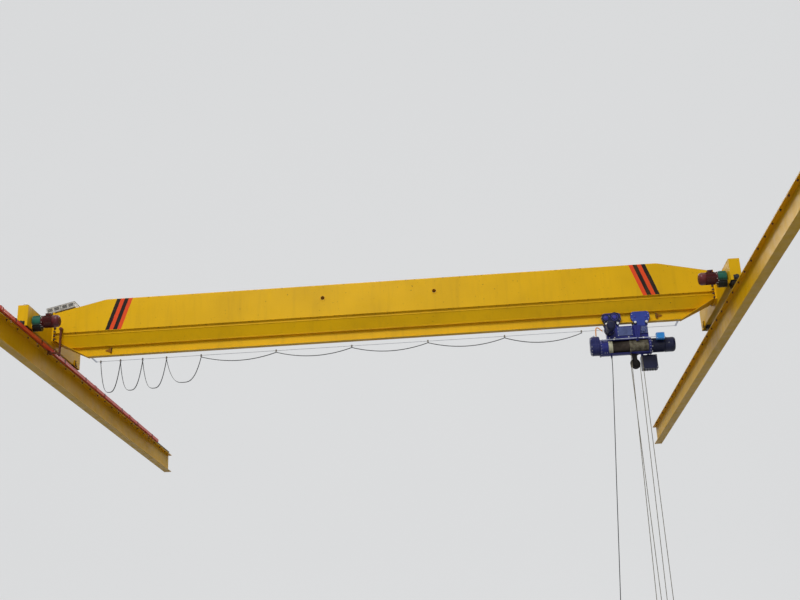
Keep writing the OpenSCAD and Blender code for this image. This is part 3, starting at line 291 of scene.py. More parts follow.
def make_materials(colours):
    """Every finish on the crane, by the name that the pieces below use."""
    yellow, navy = hex_of(colours.yellow), hex_of(colours.navy)
    PAINTS.update(
        enamel=structural_enamel("yellow_enamel", yellow),
        girder=structural_enamel("striped_yellow_enamel", yellow, striped=True),
        ochre=structural_enamel("brown_stop_enamel", "#8f5c12"),
        rail=weathered_steel("rolled_rail_steel", "#6f6357", "#4a3120", 0.6, 0.45),
        wheel=weathered_steel("forged_wheel_steel", "#57524d", "#3c2a1e", 0.35, 0.42),
        drum=weathered_steel("cast_drum_iron", "#33291f", "#1e1611", 0.6, 0.6, 0.4),
        rope=weathered_steel("greased_wire_rope", "#7a7360", "#2f2a20", 0.7, 0.5, 0.6),
        zinc=weathered_steel("zinc_plated_fastener", "#d4d3cd", "#8a8880", 0.25, 0.28),
        galvanised=weathered_steel("galvanised_rod", "#b4bac6", "#7d8088", 0.3, 0.30),
        bolt=weathered_steel("rusty_structural_bolt", "#5c4238", "#33201a", 0.7, 0.5, 0.5),
        post=machine_enamel("brown_collector_enamel", "#5a2a16", 0.5, 0.1),
        black=machine_enamel("black_oxide_steel", "#161413", 0.5, 0.12),
        cream=machine_enamel("cream_drum_enamel", "#b9b79b", 0.5, 0.1),
        maroon=machine_enamel("maroon_motor_enamel", hex_of(colours.maroon), 0.30),
        # The fan cowls get a lighter maroon than the motors' bodies
        cowl=machine_enamel("lighter_maroon_cowl_enamel", "#5a2022", 0.34),
        teal=machine_enamel("green_gearbox_enamel", hex_of(colours.teal), 0.34, 0.2, BEAM_TOP + 0.285),
        box=machine_enamel("grey_box_enamel", "#a5a19a", 0.45, 0.5),
        navy=machine_enamel("navy_hoist_enamel", navy, 0.30),
        violet=machine_enamel("violet_blue_cover_enamel", "#35368a", 0.32, 0.2),
        dusty=machine_enamel("dusty_navy_panel_enamel", "#48527c", 0.5, 0.5),
        trolley=machine_enamel("blue_trolley_enamel", "#2a3c8c", 0.34, 0.15),
        casing=machine_enamel("dark_blue_casing_enamel", "#161b52", 0.32, 0.12),
        dark_navy=machine_enamel("dark_navy_motor_enamel", "#0d1233", 0.34, 0.15),
        sky=machine_enamel("light_blue_switch_enamel", "#2f86cf", 0.32, 0.5),
        red=machine_enamel("red_block_enamel", "#a8261e", 0.4, 0.2),
        bar=moulded("red_pvc_bar_cover", "#d23a22", 0.36),
        rubber=moulded("black_rubber", "#161616", 0.75),
        cable=moulded("black_cable_sheath", "#1b1c1f", 0.55),
        conduit=moulded("grey_plastic_conduit", "#aeb4c2", 0.45),
        orange=moulded("orange_plastic_conduit", "#dd8a2c", 0.5),
        white=moulded("white_sounder_plastic", "#d4d4cf", 0.4),
        station=moulded("yellow_station_plastic", "#dcae06", 0.45),
        signal=moulded("red_button_plastic", "#b32018", 0.4),
    )


# The solids that have each finish
SOLIDS = {
    "enamel": "left_runway_beam right_runway_beam girder_track girder_end_plates left_end_carriage "
              "right_end_carriage wheel_bearings",
    "girder": "girder_box", "ochre": "trolley_stops", "rail": "crane_rails", "bar": "conductor_bar",
    "black": "conductor_bar_brackets upper_sheave_bracket upper_sheave", "rubber": "carriage_buffers",
    "wheel": "left_driven_wheel right_driven_wheel left_idle_wheel right_idle_wheel trolley_wheels",
    "maroon": "left_travel_motor right_travel_motor", "teal": "left_travel_gearbox right_travel_gearbox",
    "box": "control_box", "white": "warning_sounder", "post": "current_collector",
    "galvanised": "festoon_wire limit_switch", "cable": "festoon_cable pendant_cable",
    "navy": "driven_trolley hoist_frame drum_shell", "trolley": "idle_trolley", "drum": "rope_drum",
    "dark_navy": "trolley_motor hoist_motor hoist_controls", "casing": "hoist_gearbox",
    "rope": "rope_leads rope_falls", "red": "hook_block hook", "station": "pendant_station",
}


# ---- Surfaces. A part is three arrays: its points, its four-sided faces and its three-sided ones.


def grid(points, around=True, caps=True):
    """A part from rows of points: quads join each row to the next, the last column meets the first when
    it goes around, and the first and last rows are closed by fans round their middles."""
    rows, columns = points.shape[:2]
    i, j = np.meshgrid(np.arange(rows - 1), np.arange(columns if around else columns - 1), indexing="ij")
    k = (j + 1) % columns
    quads = [i * columns + j, i * columns + k, (i + 1) * columns + k, (i + 1) * columns + j]
    quads = np.stack(quads, -1).reshape(-1, 4)
    flat = points.reshape(-1, 3)
    if not caps:
        return flat, quads, np.zeros((0, 3), int)
    j = np.arange(columns)
    k = (j + 1) % columns
    last = (rows - 1) * columns
    low = np.stack([k, j, np.full_like(j, rows * columns)], -1)
    high = np.stack([last + j, last + k, np.full_like(j, rows * columns + 1)], -1)
    flat = np.concatenate([flat, [points[0].mean(0), points[-1].mean(0)]])
    return flat, quads, np.concatenate([low, high])


def circle(radius, sides=10):
    """A round section: cosine and sine of equal turns."""
    angle = np.arange(sides) * 2 * np.pi / sides
    return np.stack([np.cos(angle), np.sin(angle)], -1) * radius


def revolved(profile, sides, caps=True):
    """A solid of revolution about Z: each (radius, height) of the profile, from the bottom to the top,
    goes round in so many sides."""
    profile = np.asarray(profile, float)
    ring = np.concatenate([circle(1, sides), np.zeros((sides, 1))], -1)
    return grid(profile[:, None, :1] * ring[None] + profile[:, None, 1:] * np.array([0, 0, 1.0]), caps=caps)


def washer_ring(inner, outer, height, sides=32):
    """A flat ring about Z: its section's four corners go round, and the last meets the first."""
    section = [(inner, 0), (outer, 0), (outer, height), (inner, height), (inner, 0)]
    return revolved(section, sides, caps=False)


def block(size, edge=0.003, corner=0.0, turns=2):
    """A block with soft edges, its foot on Z = 0: an outline with rounded corners starts a little small,
    swells to full size, goes straight up and closes the same way."""
    x, y, z = size
    radius = max(corner, edge)
    angle = np.radians(np.arange(4)[:, None] * 90 + np.linspace(0, 90, turns + 1)[None]).reshape(-1)
    corners = np.repeat([[1, 1], [-1, 1], [-1, -1], [1, -1]], turns + 1, axis=0)
    around = np.stack([np.cos(angle), np.sin(angle)], -1)
    reach = np.array([radius - edge, radius, radius, radius - edge])[:, None, None]
    rings = corners * [x / 2 - radius, y / 2 - radius] + around * reach
    heights = np.broadcast_to(np.array([0, edge, z - edge, z])[:, None, None], (4, len(angle), 1))
    return grid(np.concatenate([rings, heights], -1))


def carried(path, section, guide=None, twist=0.0, swell=None):
    """A section carried along a path. At each point the section's two coordinates are laid along the
    two directions square to the path, the first square to a guide as well. The section turns by twist
    radians a metre and its size follows swell from point to point."""
    path, section = np.asarray(path, float), np.asarray(section, float)
    along = np.gradient(path, axis=0)
    along /= np.linalg.norm(along, axis=1, keepdims=True)
    if guide is None:
        guide = UP if abs(along[:, 2]).max() < 0.9 else FAR
    side = np.cross(np.asarray(guide, float), along)
    side /= np.linalg.norm(side, axis=1, keepdims=True)
    over = np.cross(along, side)
    travelled = np.concatenate([[0], np.cumsum(np.linalg.norm(np.diff(path, axis=0), axis=1))])
    turn = (travelled * twist)[:, None]
    u = section[:, 0] * np.cos(turn) - section[:, 1] * np.sin(turn)
    v = section[:, 0] * np.sin(turn) + section[:, 1] * np.cos(turn)
    size = np.ones(len(path)) if swell is None else np.asarray(swell, float)
    offset = u[..., None] * side[:, None] + v[..., None] * over[:, None]
    return grid(path[:, None] + offset * size[:, None, None])


def bent(points, between=8):
    """A smooth route through points: each stretch is the cubic that leaves a point along the line
    between its two neighbours."""
    points = np.asarray(points, float)
    padded = np.concatenate([points[:1], points, points[-1:]])
    a, b, c, d = padded[:-3, None], padded[1:-2, None], padded[2:-1, None], padded[3:, None]
    t = (np.arange(between) / between)[None, :, None]
    square, cube = 2 * a - 5 * b + 4 * c - d, 3 * b - a - 3 * c + d
    curve = b + ((c - a) * t + square * t ** 2 + cube * t ** 3) / 2
    return np.concatenate([curve.reshape(-1, 3), points[-1:]])


def joined(parts):
    """Several parts as one: their points follow each other and their faces count on."""
    starts = np.cumsum([0] + [len(part[0]) for part in parts[:-1]])
    faces = [np.concatenate([part[kind] + start for part, start in zip(parts, starts)]) for kind in (1, 2)]
    return (np.concatenate([part[0] for part in parts]), *faces)


def facing(part, places, outward=UP):
    """Copies of a part at one place or many, its +Z turned to point outward, computed as one array."""
    matrix = np.array(Vector(UP).rotation_difference(Vector(outward)).to_matrix())
    places = np.asarray(places, float).reshape(-1, 3)
    points = (part[0] @ matrix.T)[None] + places[:, None]
    step = (np.arange(len(places)) * len(part[0]))[:, None, None]
    return points.reshape(-1, 3), (part[1] + step).reshape(-1, 4), (part[2] + step).reshape(-1, 3)


def bolt(across, head, stud=0.0):
    """A hexagon head with a chamfered top on a round washer, standing up from Z = 0."""
    r, foot = across / math.sqrt(3), across * 0.12
    top = foot + head
    parts = [revolved([(across * 0.72, 0), (across * 0.72, foot)], 12),
             revolved([(r, foot), (r, foot + head * 0.86), (r * 0.84, top)], 6)]
    if stud:
        parts.append(revolved([(across * 0.3, top), (across * 0.3, top + stud * 0.85),
                               (across * 0.24, top + stud)], 8))
    return joined(parts)


def bolts(across, head, places, outward=UP, stud=0.0):
    """Bolts of one size at one place or many, their heads outward."""
    return facing(bolt(across, head, stud), places, outward)


def ring_of(centre, radius, count, axis="X", start=0.0):
    """Places at equal turns on a circle about an axis along X, Y or Z."""
    angle = np.radians(start) + np.arange(count) * 2 * np.pi / count
    places = np.zeros((count, 3))
    across = [i for i, letter in enumerate("XYZ") if letter != axis]
    places[:, across] = np.stack([np.cos(angle), np.sin(angle)], -1) * radius
    return places + np.asarray(centre, float)


def fins(length, inner, outer, count, thick):
    """Cooling fins round Z: a thin tapered slab from the inner to the outer radius, copied round."""
    angle = (np.arange(count) * 2 * np.pi / count)[:, None]
    half_foot, half_tip = thick / 2, thick * 0.35
    corner = np.array([(inner, -half_foot), (outer, -half_tip), (outer, half_tip), (inner, half_foot)])
    u = corner[:, 0] * np.cos(angle) - corner[:, 1] * np.sin(angle)
    v = corner[:, 0] * np.sin(angle) + corner[:, 1] * np.cos(angle)
    foot = np.stack([u, v, np.zeros_like(u)], -1)
    points = np.concatenate([foot, foot + [0, 0, length]], 1).reshape(-1, 3)
    faces = np.array([[3, 2, 1, 0], [4, 5, 6, 7], [0, 1, 5, 4], [1, 2, 6, 5], [2, 3, 7, 6], [3, 0, 4, 7]])
    return points, (faces + (np.arange(count) * 8)[:, None, None]).reshape(-1, 4), np.zeros((0, 3), int)


def piece(name, parts, paint, body, smooth=35):
    """Puts parts into one mesh piece that rides on a body, with smooth shading below an angle."""
    points, quads, triangles = joined(parts)
    mesh = bpy.data.meshes.new(name)
    mesh.from_pydata(points.tolist(), [], quads.tolist() + triangles.tolist())
    mesh.validate()
    mesh.shade_smooth()
    mesh.set_sharp_from_angle(angle=math.radians(smooth))
    made = bpy.data.objects.new(name, mesh)
    bpy.context.scene.collection.objects.link(made)
    mesh.materials.append(PAINTS[paint])
    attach(made, body)
    return made


# ---- Places


def millimetres(x, y, z):
    """Places in metres from millimetres. Where a direction has several numbers, all combinations."""
    return np.stack(np.meshgrid(x, y, z, indexing="ij"), -1).reshape(-1, 3).squeeze() / 1000


def on_bridge(x, y, z):
    """Places on the bridge: millimetres from mid-span, the girder's middle and the beams' tops."""
    return BRIDGE + millimetres(x, y, z)


def on_hoist(x, y, z):
    """Places on the hoist: millimetres from between its trolleys, under the middle of the track."""
    return HOIST + millimetres(x, y, z)


def swung(x, y, z, turn):
    """Places turned about the vertical: x and y go round by the cosine and sine of the turn."""
    c, s = math.cos(turn), math.sin(turn)
    return np.stack(np.broadcast_arrays(x * c - y * s, x * s + y * c, z), -1)


def on_block(x, y, z):
    """Places on the block: millimetres from its sheaves' middle, turned as the block is turned."""
    return BLOCK + swung(x, y, z, BLOCK_TURN) / 1000


def in_box(part, x, y, z, outward=UP):
    """A part set in the control box's own axes, in millimetres, and laid on the girder's sloping end."""
    slope = (-0.286, 0, 1.270)
    return facing(facing(part, millimetres(x, y, z), outward), on_bridge(-END_PLATE_X, 0, 1010), slope)


def about(middle, away):
    """Two numbers, as far below another as above it."""
    return middle - away, middle + away


def row(x, along, z):
    """Places in a row along Y, in metres."""
    return np.stack(np.broadcast_arrays(x, along, z), -1)


def weld(start, end, leg=0.005):
    """A weld bead along a straight line between two places on the bridge: a small round section whose
    size swells and shrinks with each 12 mm ripple of the bead."""
    start, end = on_bridge(*start), on_bridge(*end)
    count = int(min(700, max(2, np.linalg.norm(end - start) / 0.012 * 3)))
    swell = 1 + 0.14 * np.sin(np.arange(count) * 2 * np.pi / 3)
    return carried(np.linspace(start, end, count), circle(leg, 6), swell=swell)


class CraneSettings(PropertyGroup):
    """Sizes and colours of the pieces that dress the solids."""
    yellow: FloatVectorProperty(
        name="Yellow", description="Enamel of the girder, the carriages and the beams",
        subtype="COLOR", size=3, min=0, max=1, default=(0.878, 0.682, 0.020))
    maroon: FloatVectorProperty(
        name="Motor maroon", description="Enamel of the travel motors",
        subtype="COLOR", size=3, min=0, max=1, default=(0.300, 0.075, 0.080))
    teal: FloatVectorProperty(
        name="Gearbox green", description="Enamel of the travel gearboxes",
        subtype="COLOR", size=3, min=0, max=1, default=(0.110, 0.350, 0.290))
    navy: FloatVectorProperty(
        name="Hoist blue", description="Enamel of the hoist and its trolleys",
        subtype="COLOR", size=3, min=0, max=1, default=(0.110, 0.130, 0.420))
    clip_pitch: FloatProperty(
        name="Clip pitch", description="Distance between two rail clips",
        unit="LENGTH", min=0.3, max=1.2, default=0.6)
    rope_d: FloatProperty(
        name="Rope diameter", description="Diameter of the hoisting rope",
        unit="LENGTH", min=0.010, max=0.016, default=0.015)
    weld_leg: FloatProperty(
        name="Weld leg", description="Half width of the welds on the structure",
        unit="LENGTH", min=0.002, max=0.010, default=0.005)
    fin_count: IntProperty(
        name="Motor fins", description="Cooling fins round a travel motor", min=12, max=80, default=40)


class CRANE_OT_finishes(Operator):
    """Makes every finish and paints the solids"""
    bl_idname = "crane.finishes"
    bl_label = "Finishes"

    def execute(self, context):
        make_materials(context.scene.crane)
        for paint, names in SOLIDS.items():
            for name in names.split():
                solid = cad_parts[name]
                solid.data.materials.clear()
                solid.data.materials.append(PAINTS[paint])
        return {"FINISHED"}


class CRANE_OT_stage(Operator):
    """Sets the camera, the lamps, the pale floor and its backdrop"""
    bl_idname = "crane.stage"
    bl_label = "Stage"

    def execute(self, context):
        scene = context.scene
        scene.view_settings.view_transform = "Standard"
        data = bpy.data.cameras.new("camera")
        data.sensor_width, data.lens, data.clip_end = 36, 49.95, 400
        camera = bpy.data.objects.new("camera", data)
        scene.collection.objects.link(camera)
        camera.location = (9.770, -23.145, -7.887)
        pan, tilt, roll = math.radians(3.21), math.radians(110.77), math.radians(-2.58)
        turns = [Euler(angles).to_matrix() for angles in ((0, 0, pan), (tilt, 0, 0), (0, 0, roll))]
        camera.rotation_euler = (turns[0] @ turns[1] @ turns[2]).to_euler()
        scene.camera = camera
        world = bpy.data.worlds.new("studio")
        scene.world = world
        world.use_nodes = True
        tree = world.node_tree
        tree.nodes.clear()
        dim = add_node(tree, "Background", {"Color": (0.95, 0.97, 1.0, 1.0), "Strength": 0.30})
        pale = add_node(tree, "Background", {"Color": linear("#d6d7d8"), "Strength": 1.0})
        both = add_node(tree, "MixShader", {0: seen_directly(tree), 1: dim, 2: pale})
        add_node(tree, "OutputWorld", {"Surface": both})
        for name, place, size, power in (
                ("key", (3, -20, 21), 12, 6800), ("front_fill", (16, -26, 0), 16, 800),
                ("back_rim", (8, 22, 18), 16, 2600)):
            data = bpy.data.lights.new(name, "AREA")
            data.size, data.energy = size, power
            lamp = bpy.data.objects.new(name, data)
            scene.collection.objects.link(lamp)
            lamp.location = place
            lamp.rotation_euler = (Vector((MID, 1, 0)) - Vector(place)).to_track_quat("-Z", "Y").to_euler()
        backdrop()
        return {"FINISHED"}


def backdrop():
    """A pale floor that curves up behind the crane: a line goes back, round a quarter circle and up."""
    ground, radius, depth = BLOCK[2] - 1.15, 12.0, 34.0
    turn = np.linspace(0, np.pi / 2, 24)
    back = np.concatenate([[-240], depth + radius * np.sin(turn), [depth + radius]])
    up = np.concatenate([[0], radius * (1 - np.cos(turn)), [60]]) + ground
    points = np.stack([np.tile([-240.0, 256.0], len(back)), np.repeat(back, 2), np.repeat(up, 2)], -1)
    flat, quads, _ = grid(points.reshape(len(back), 2, 3), around=False, caps=False)
    mesh = bpy.data.meshes.new("floor")
    mesh.from_pydata(flat.tolist(), [], quads.tolist())
    mesh.shade_smooth()
    floor = bpy.data.objects.new("floor", mesh)
    bpy.context.scene.collection.objects.link(floor)
    mesh.materials.append(studio_paper("pale_studio_paper"))


# The pendant cable's route, in millimetres from where it leaves the drum's shell
PENDANT = np.array([
    (0, 0, 0), (0, 0, -80), (-12, 0, -320), (-55, 0, -900), (-112, 4, -1650), (-170, 9, -2400),
    (-228, 13, -3150), (-285, 16, -3900), (-342, 18, -4650), (-400, 20, -5400), (-450, 20, -6100),
    (-485, 20, -6700), (-505, 20, -7240), (-510, 20, -7580), (-510, 20, -7660)]) / 1000


class CRANE_OT_pendant(Operator):
    """Hangs the pendant cable from the hoist, with its tapered glands and its push-button station"""
    bl_idname = "crane.pendant"
    bl_label = "Pendant cable and station"

    def execute(self, context):
        leaves = on_hoist(-404, 0, -800)
        route = bent(PENDANT, 12) + leaves
        sheath = piece("pendant_sheath", [carried(route, circle(0.009, 12))], "cable", "hoist")
        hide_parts("pendant_cable")
        taper = revolved([(0.020, 0), (0.020, 0.010), (0.016, 0.012), (0.013, 0.030), (0.0105, 0.048),
                          (0.0095, 0.050)], 16)
        glands = piece("pendant_glands", [facing(taper, leaves + [0, 0, 0.012], DOWN),
                                          facing(taper, route[-1] - [0, 0, 0.012])], "rubber", "hoist")
        station(route[-1])
        return {"FINISHED"}


def station(foot):
    """Push buttons in a row down the near face of the pendant station, each a collar round a domed cap."""
    low, high = LOW["pendant_station"], HIGH["pendant_station"]
    places = [(foot[0], low[1], z) for z in np.linspace(low[2] + 0.07, high[2] - 0.13, 7)]
    collar = washer_ring(0.0125, 0.0175, 0.006, 20)
    cap = revolved([(0.0120, 0), (0.0120, 0.009), (0.0105, 0.012), (0.0060, 0.0135)], 16)
    piece("button_collars", [facing(collar, places, NEAR)], "black", "hoist")
    piece("move_buttons", [facing(cap, places[:-1], NEAR)], "rubber", "hoist")
    piece("stop_button", [facing(cap, places[-1:], NEAR)], "signal", "hoist")


class CRANE_OT_runway(Operator):
    """Clamps the rails to the beams, and joins and bolts the conductor bar"""
    bl_idname = "crane.runway"
    bl_label = "Rail clips and bar joints"

    def execute(self, context):
        flange, ends = 0.017, (-1, 1)
        along = np.arange(LOW["crane_rails"][1] + 0.48, HIGH["crane_rails"][1] - 0.1,
                          context.scene.crane.clip_pitch)
        clips, fixings = [], []
        for x in (0, SPAN):
            for side in (-1, 1):
                spots = row(x + side * 0.077, along, BEAM_TOP)
                clips.append(facing(block((0.052, 0.060, 0.014)), spots - [side * 0.006, 0, 0]))
                fixings += [bolts(0.026, 0.016, spots + [0, 0, 0.014], stud=0.014),
                            bolts(0.030, 0.018, spots - [0, 0, flange], DOWN, 0.016)]
        piece("rail_clips", clips, "black", "runway")
        piece("rail_bolts", fixings, "bolt", "runway")

        first, last = LOW["conductor_bar"][1], HIGH["conductor_bar"][1]
        top = row(MIDDLE["conductor_bar"][0], np.arange(first + 1.05, last - 0.5, 3.0), BEAM_TOP + 0.0505)
        cover, cheek = block((0.068, 0.150, 0.006), 0.002), block((0.005, 0.150, 0.074), 0.002)
        band, strap = block((0.072, 0.012, 0.004), 0.001), block((0.003, 0.012, 0.078), 0.001)
        piece("bar_joint_covers", [facing(cover, top)] + [
            facing(cheek, top + [side * 0.0310, 0, -0.073]) for side in (-1, 1)], "bar", "runway")
        piece("bar_joint_bands", [facing(band, top + [0, end * 0.060, 0.006]) for end in ends] + [
            facing(strap, top + [side * 0.0350, end * 0.060, -0.071]) for side in (-1, 1) for end in ends],
              "black", "runway")
        spots = row(0.106, np.arange(first + 0.3, last - 0.1, 1.5), BEAM_TOP + 0.006)
        under = spots - [0, 0, 0.006 + flange]
        piece("bracket_bolts", [bolts(0.019, 0.010, spots, stud=0.008),
                                bolts(0.019, 0.010, under, DOWN, 0.008)], "zinc", "runway")
        return {"FINISHED"}


class CRANE_OT_girder(Operator):
    """Lays the welds on the girder and sets the bolts in its end plates"""
    bl_idname = "crane.girder"
    bl_label = "Girder welds and end bolts"

    def execute(self, context):
        leg = context.scene.crane.weld_leg
        seams, fixings, rims = [], [], []
        eye, sleeve = washer_ring(0.071, 0.079, 0.003, 40), washer_ring(0.0415, 0.046, 0.004)
        for y in (-1, 1):
            out, web = (0, y, 0), y * 222
            for half, away, height in ((7700, 221, 505), (7690, 180, 432), (7380, 71, 180)):
                seams.append(weld((-half, y * away, height), (half, y * away, height), leg))
            for x in (-1, 1):
                end = x * 7738
                seams += [weld((end, web, 508), (end, web, 1008), leg),
                          weld((x * 7636, web, 516), (end, web, 516), leg),
                          facing(eye, on_bridge(x * SLEEVE_X, y * 220, SLEEVE_Z), out)]
                rims.append(facing(sleeve, on_bridge(x * SLEEVE_X, y * 225, SLEEVE_Z), out))
                heads = on_bridge(x * END_PLATE_X, y * 240, 345 + 96 * np.arange(7))
                fixings.append(bolts(0.046, 0.026, heads, (-x, 0, 0), 0.018))
        piece("girder_welds", seams, "enamel", "bridge")
        piece("end_plate_bolts", fixings, "bolt", "bridge")
        piece("sleeve_rims", rims, "bolt", "bridge")
        return {"FINISHED"}


class CRANE_OT_carriages(Operator):
    """Adds the plate seams, the bearing caps and the bolts of the end carriages"""
    bl_idname = "crane.carriages"
    bl_label = "Carriage seams and bearing bolts"

    def execute(self, context):
        leg = context.scene.crane.weld_leg
        seams, fixings, caps = [], [], []
        for side in (-1, 1):
            centre = side * CARRIAGE_X
            inner = centre - side * 122
            for x in about(centre, 120):
                seams += [weld((x, -1712, z), (x, 1712, z), leg * 0.7) for z in (200, 676)]
            for y in (-1, 1):
                edge, web = y * 261, y * 218
                seams += [weld((inner, edge, 302), (inner, edge, 1016), leg * 0.8),
                          weld((centre - side * 118, web, 682), (centre + side * 96, web, 682), leg * 0.8)]
                buffer = on_bridge(about(centre, 50), y * 1730, (205, 285))
                fixings.append(bolts(0.014, 0.008, buffer, (0, y, 0)))
                # A gearbox covers the inner bearing of each driven wheel
                for out in (side, -side) if y > 0 else (side,):
                    hub, axis = on_bridge(centre + out * 138, y * WHEEL_Y, WHEEL_Z), (out, 0, 0)
                    caps.append(facing(washer_ring(0.054, 0.070, 0.009), hub, axis))
                    fixings += [bolts(0.018, 0.011, hub + millimetres(0, (-58, 58), (-58, 58)), axis),
                                bolts(0.010, 0.006, ring_of(hub + [out * 0.009, 0, 0], 0.0625, 6), axis)]
        piece("carriage_welds", seams, "enamel", "bridge")
        piece("bearing_cap_rings", caps, "black", "bridge")
        piece("bearing_bolts", fixings, "bolt", "bridge")
        return {"FINISHED"}


class CRANE_OT_travel_drives(Operator):
    """Adds fins, fan cowls, terminal lids and bolts to the two travel motors and their gearboxes"""
    bl_idname = "crane.travel_drives"
    bl_label = "Travel motor and gearbox details"

    def execute(self, context):
        ribs = facing(fins(0.196, 0.130, 0.1415, context.scene.crane.fin_count, 0.0045), (0, 0, 0.048))
        cowl = revolved([(0.1370, 0.262), (0.1385, 0.266), (0.1385, 0.338), (0.1270, 0.3735),
                         (0.1050, 0.3940), (0.0770, 0.4020), (0.0300, 0.4020)], 48)
        hole = revolved([(0.0042, 0), (0.0042, 0.0012)], 8)
        shaft_cap = revolved([(0.014, 0), (0.014, 0.004), (0.010, 0.006)], 16)
        end = (0, 0, 0.4015)
        holes = [facing(hole, ring_of(end, r, n, "Z")) for r, n in ((0.028, 8), (0.044, 14), (0.060, 20))]
        grille = joined(holes + [facing(shaft_cap, end)])
        lid = block((0.120, 0.130, 0.010), 0.003, 0.012)
        gland = revolved([(0.015, 0), (0.015, 0.010), (0.012, 0.012), (0.010, 0.026), (0.006, 0.027)], 12)
        boss = revolved([(0.058, 0), (0.058, 0.006), (0.050, 0.010), (0.030, 0.011)], 32)
        plug = revolved([(0.014, 0), (0.014, 0.012), (0.009, 0.014), (0.009, 0.026), (0.006, 0.028)], 10)
        red, cowls, dark, zinc, green = [], [], [], [], []
        for side in (-1, 1):
            axis = (-side, 0, 0)
            start, foot = (on_bridge(side * 7560, -WHEEL_Y, z) for z in (MOTOR_Z, WHEEL_Z))
            box = on_bridge(side * 7424, -WHEEL_Y, MOTOR_Z + 172)
            red += [facing(ribs, start, axis), facing(lid, box - [0, 0, 0.002])]
            cowls.append(facing(cowl, start, axis))
            zinc += [bolts(0.016, 0.010, ring_of(start - [side * 0.016, 0, 0], 0.1335, 8, start=22.5), axis),
                     bolts(0.008, 0.004, box + millimetres((-50, 50), (-55, 55), 8)),
                     bolts(0.022, 0.013, start + millimetres(side * 15, (-95, 95), (-95, 95)), axis),
                     bolts(0.012, 0.007, ring_of(foot, 0.080, 5, start=126)[[0, 1, 4]], axis)]
            dark += [facing(grille, start, axis), facing(gland, box - [0, 0.058, 0.025], NEAR),
                     facing(plug, on_bridge(side * 7650, -WHEEL_Y, MOTOR_Z + 139))]
            green.append(facing(boss, foot, axis))
            for inner, outer, sides, z in ((0.132, 0.1440, 48, MOTOR_Z), (0.098, 0.1085, 40, WHEEL_Z)):
                places = on_bridge(side * np.array([7600, 7680, 7740]), -WHEEL_Y, z)
                green.append(facing(washer_ring(inner, outer, 0.007, sides), places, axis))
        piece("travel_motor_fins", red, "maroon", "bridge")
        piece("travel_motor_cowls", cowls, "cowl", "bridge")
        piece("travel_gearbox_ribs", green, "teal", "bridge")
        piece("travel_drive_bolts", zinc, "zinc", "bridge")
        piece("travel_drive_plugs", dark, "black", "bridge")
        return {"FINISHED"}


class CRANE_OT_controls(Operator):
    """Adds the door, louvres, hinges and glands of the control box, and the rim of the sounder"""
    bl_idname = "crane.controls"
    bl_label = "Control box and sounder details"

    def execute(self, context):
        door = block((0.330, 0.132, 0.007), 0.002, 0.008)
        knob = revolved([(0.011, 0), (0.011, 0.006), (0.008, 0.008), (0.008, 0.014)], 12)
        gland = revolved([(0.016, 0), (0.016, 0.014), (0.012, 0.016), (0.010, 0.030)], 12)
        louvre, heights = block((0.112, 0.010, 0.0025), 0.001), (76, 92, 108, 124, 140)
        piece("control_box_doors", [
            in_box(door, (-22, 318), -224, 105, NEAR), in_box(door, (-22, 318), 224, 105, FAR),
            in_box(block((0.706, 0.466, 0.008), 0.003, 0.010), 149, 0, 172.5)], "box", "bridge")
        piece("control_box_louvres", [
            in_box(louvre, (-110, 50, 246, 400), -231, heights, NEAR),
            in_box(block((0.006, 0.140, 0.003), 0.001), 148, -226, 105, NEAR),
            in_box(gland, (90, 130, 170, 210), 60, 31, DOWN)], "black", "bridge")
        piece("control_box_hinges", [
            in_box(revolved([(0.007, 0), (0.007, 0.036)], 10), (-186, 484), -230, (42, 132)),
            in_box(knob, (128, 168), -231, 105, NEAR)], "zinc", "bridge")
        foot = np.array([*MIDDLE["warning_sounder"][:2], LOW["warning_sounder"][2]])
        bars = ring_of(foot + [0, 0, 0.022], 0.0475, 20, "Z")
        piece("sounder_grille", [facing(block((0.004, 0.004, 0.030), 0.001), bars),
                                 bolts(0.009, 0.005, ring_of(foot + [0, 0, 0.014], 0.0545, 4, "Z", 45))],
              "black", "bridge")
        return {"FINISHED"}


class CRANE_OT_collector(Operator):
    """Adds the springs and bolts of the current collector, and the bolts and rubber pads of the trolley
    stops
    """
    bl_idname = "crane.collector"
    bl_label = "Collector and stop details"

    def execute(self, context):
        turns, height = 7, 0.075
        share = np.linspace(0, 1, turns * 30)
        angle = share * turns * 2 * np.pi
        spring = np.stack([0.013 * np.cos(angle), 0.013 * np.sin(angle), share * height], -1)
        coil = carried(spring, circle(0.0022, 6), guide=(0.3, 0.2, 1.0))
        piece("collector_springs", [facing(coil, on_bridge(-7710, about(-480, 75), -36))], "zinc", "bridge")
        fixings = [bolts(0.020, 0.012, on_bridge(-7548, -312, (-60, 20, 120, 340)), NEAR),
                   bolts(0.022, 0.012, on_bridge(-7548, -320, 575), NEAR)]
        pads = []
        for side in (-1, 1):
            fixings.append(bolts(0.018, 0.011, on_bridge(side * 6408, (-46, 46), (22, 104)), (side, 0, 0)))
            pads.append(facing(block((0.105, 0.052, 0.008), 0.003, 0.010),
                               on_bridge(side * 6390, (-36, 36), 63), (-side, 0, 0)))
        piece("collector_bolts", fixings, "bolt", "bridge")
        piece("stop_pads", pads, "rubber", "bridge")
        return {"FINISHED"}


# Places of the festoon's hangers, in millimetres from mid-span, and the cable in one loop
HANGERS = (-6780, -6300, -5760, -5180, -4340, -2530, -720, 1090, 2900, 4700)
LOOP = 1840


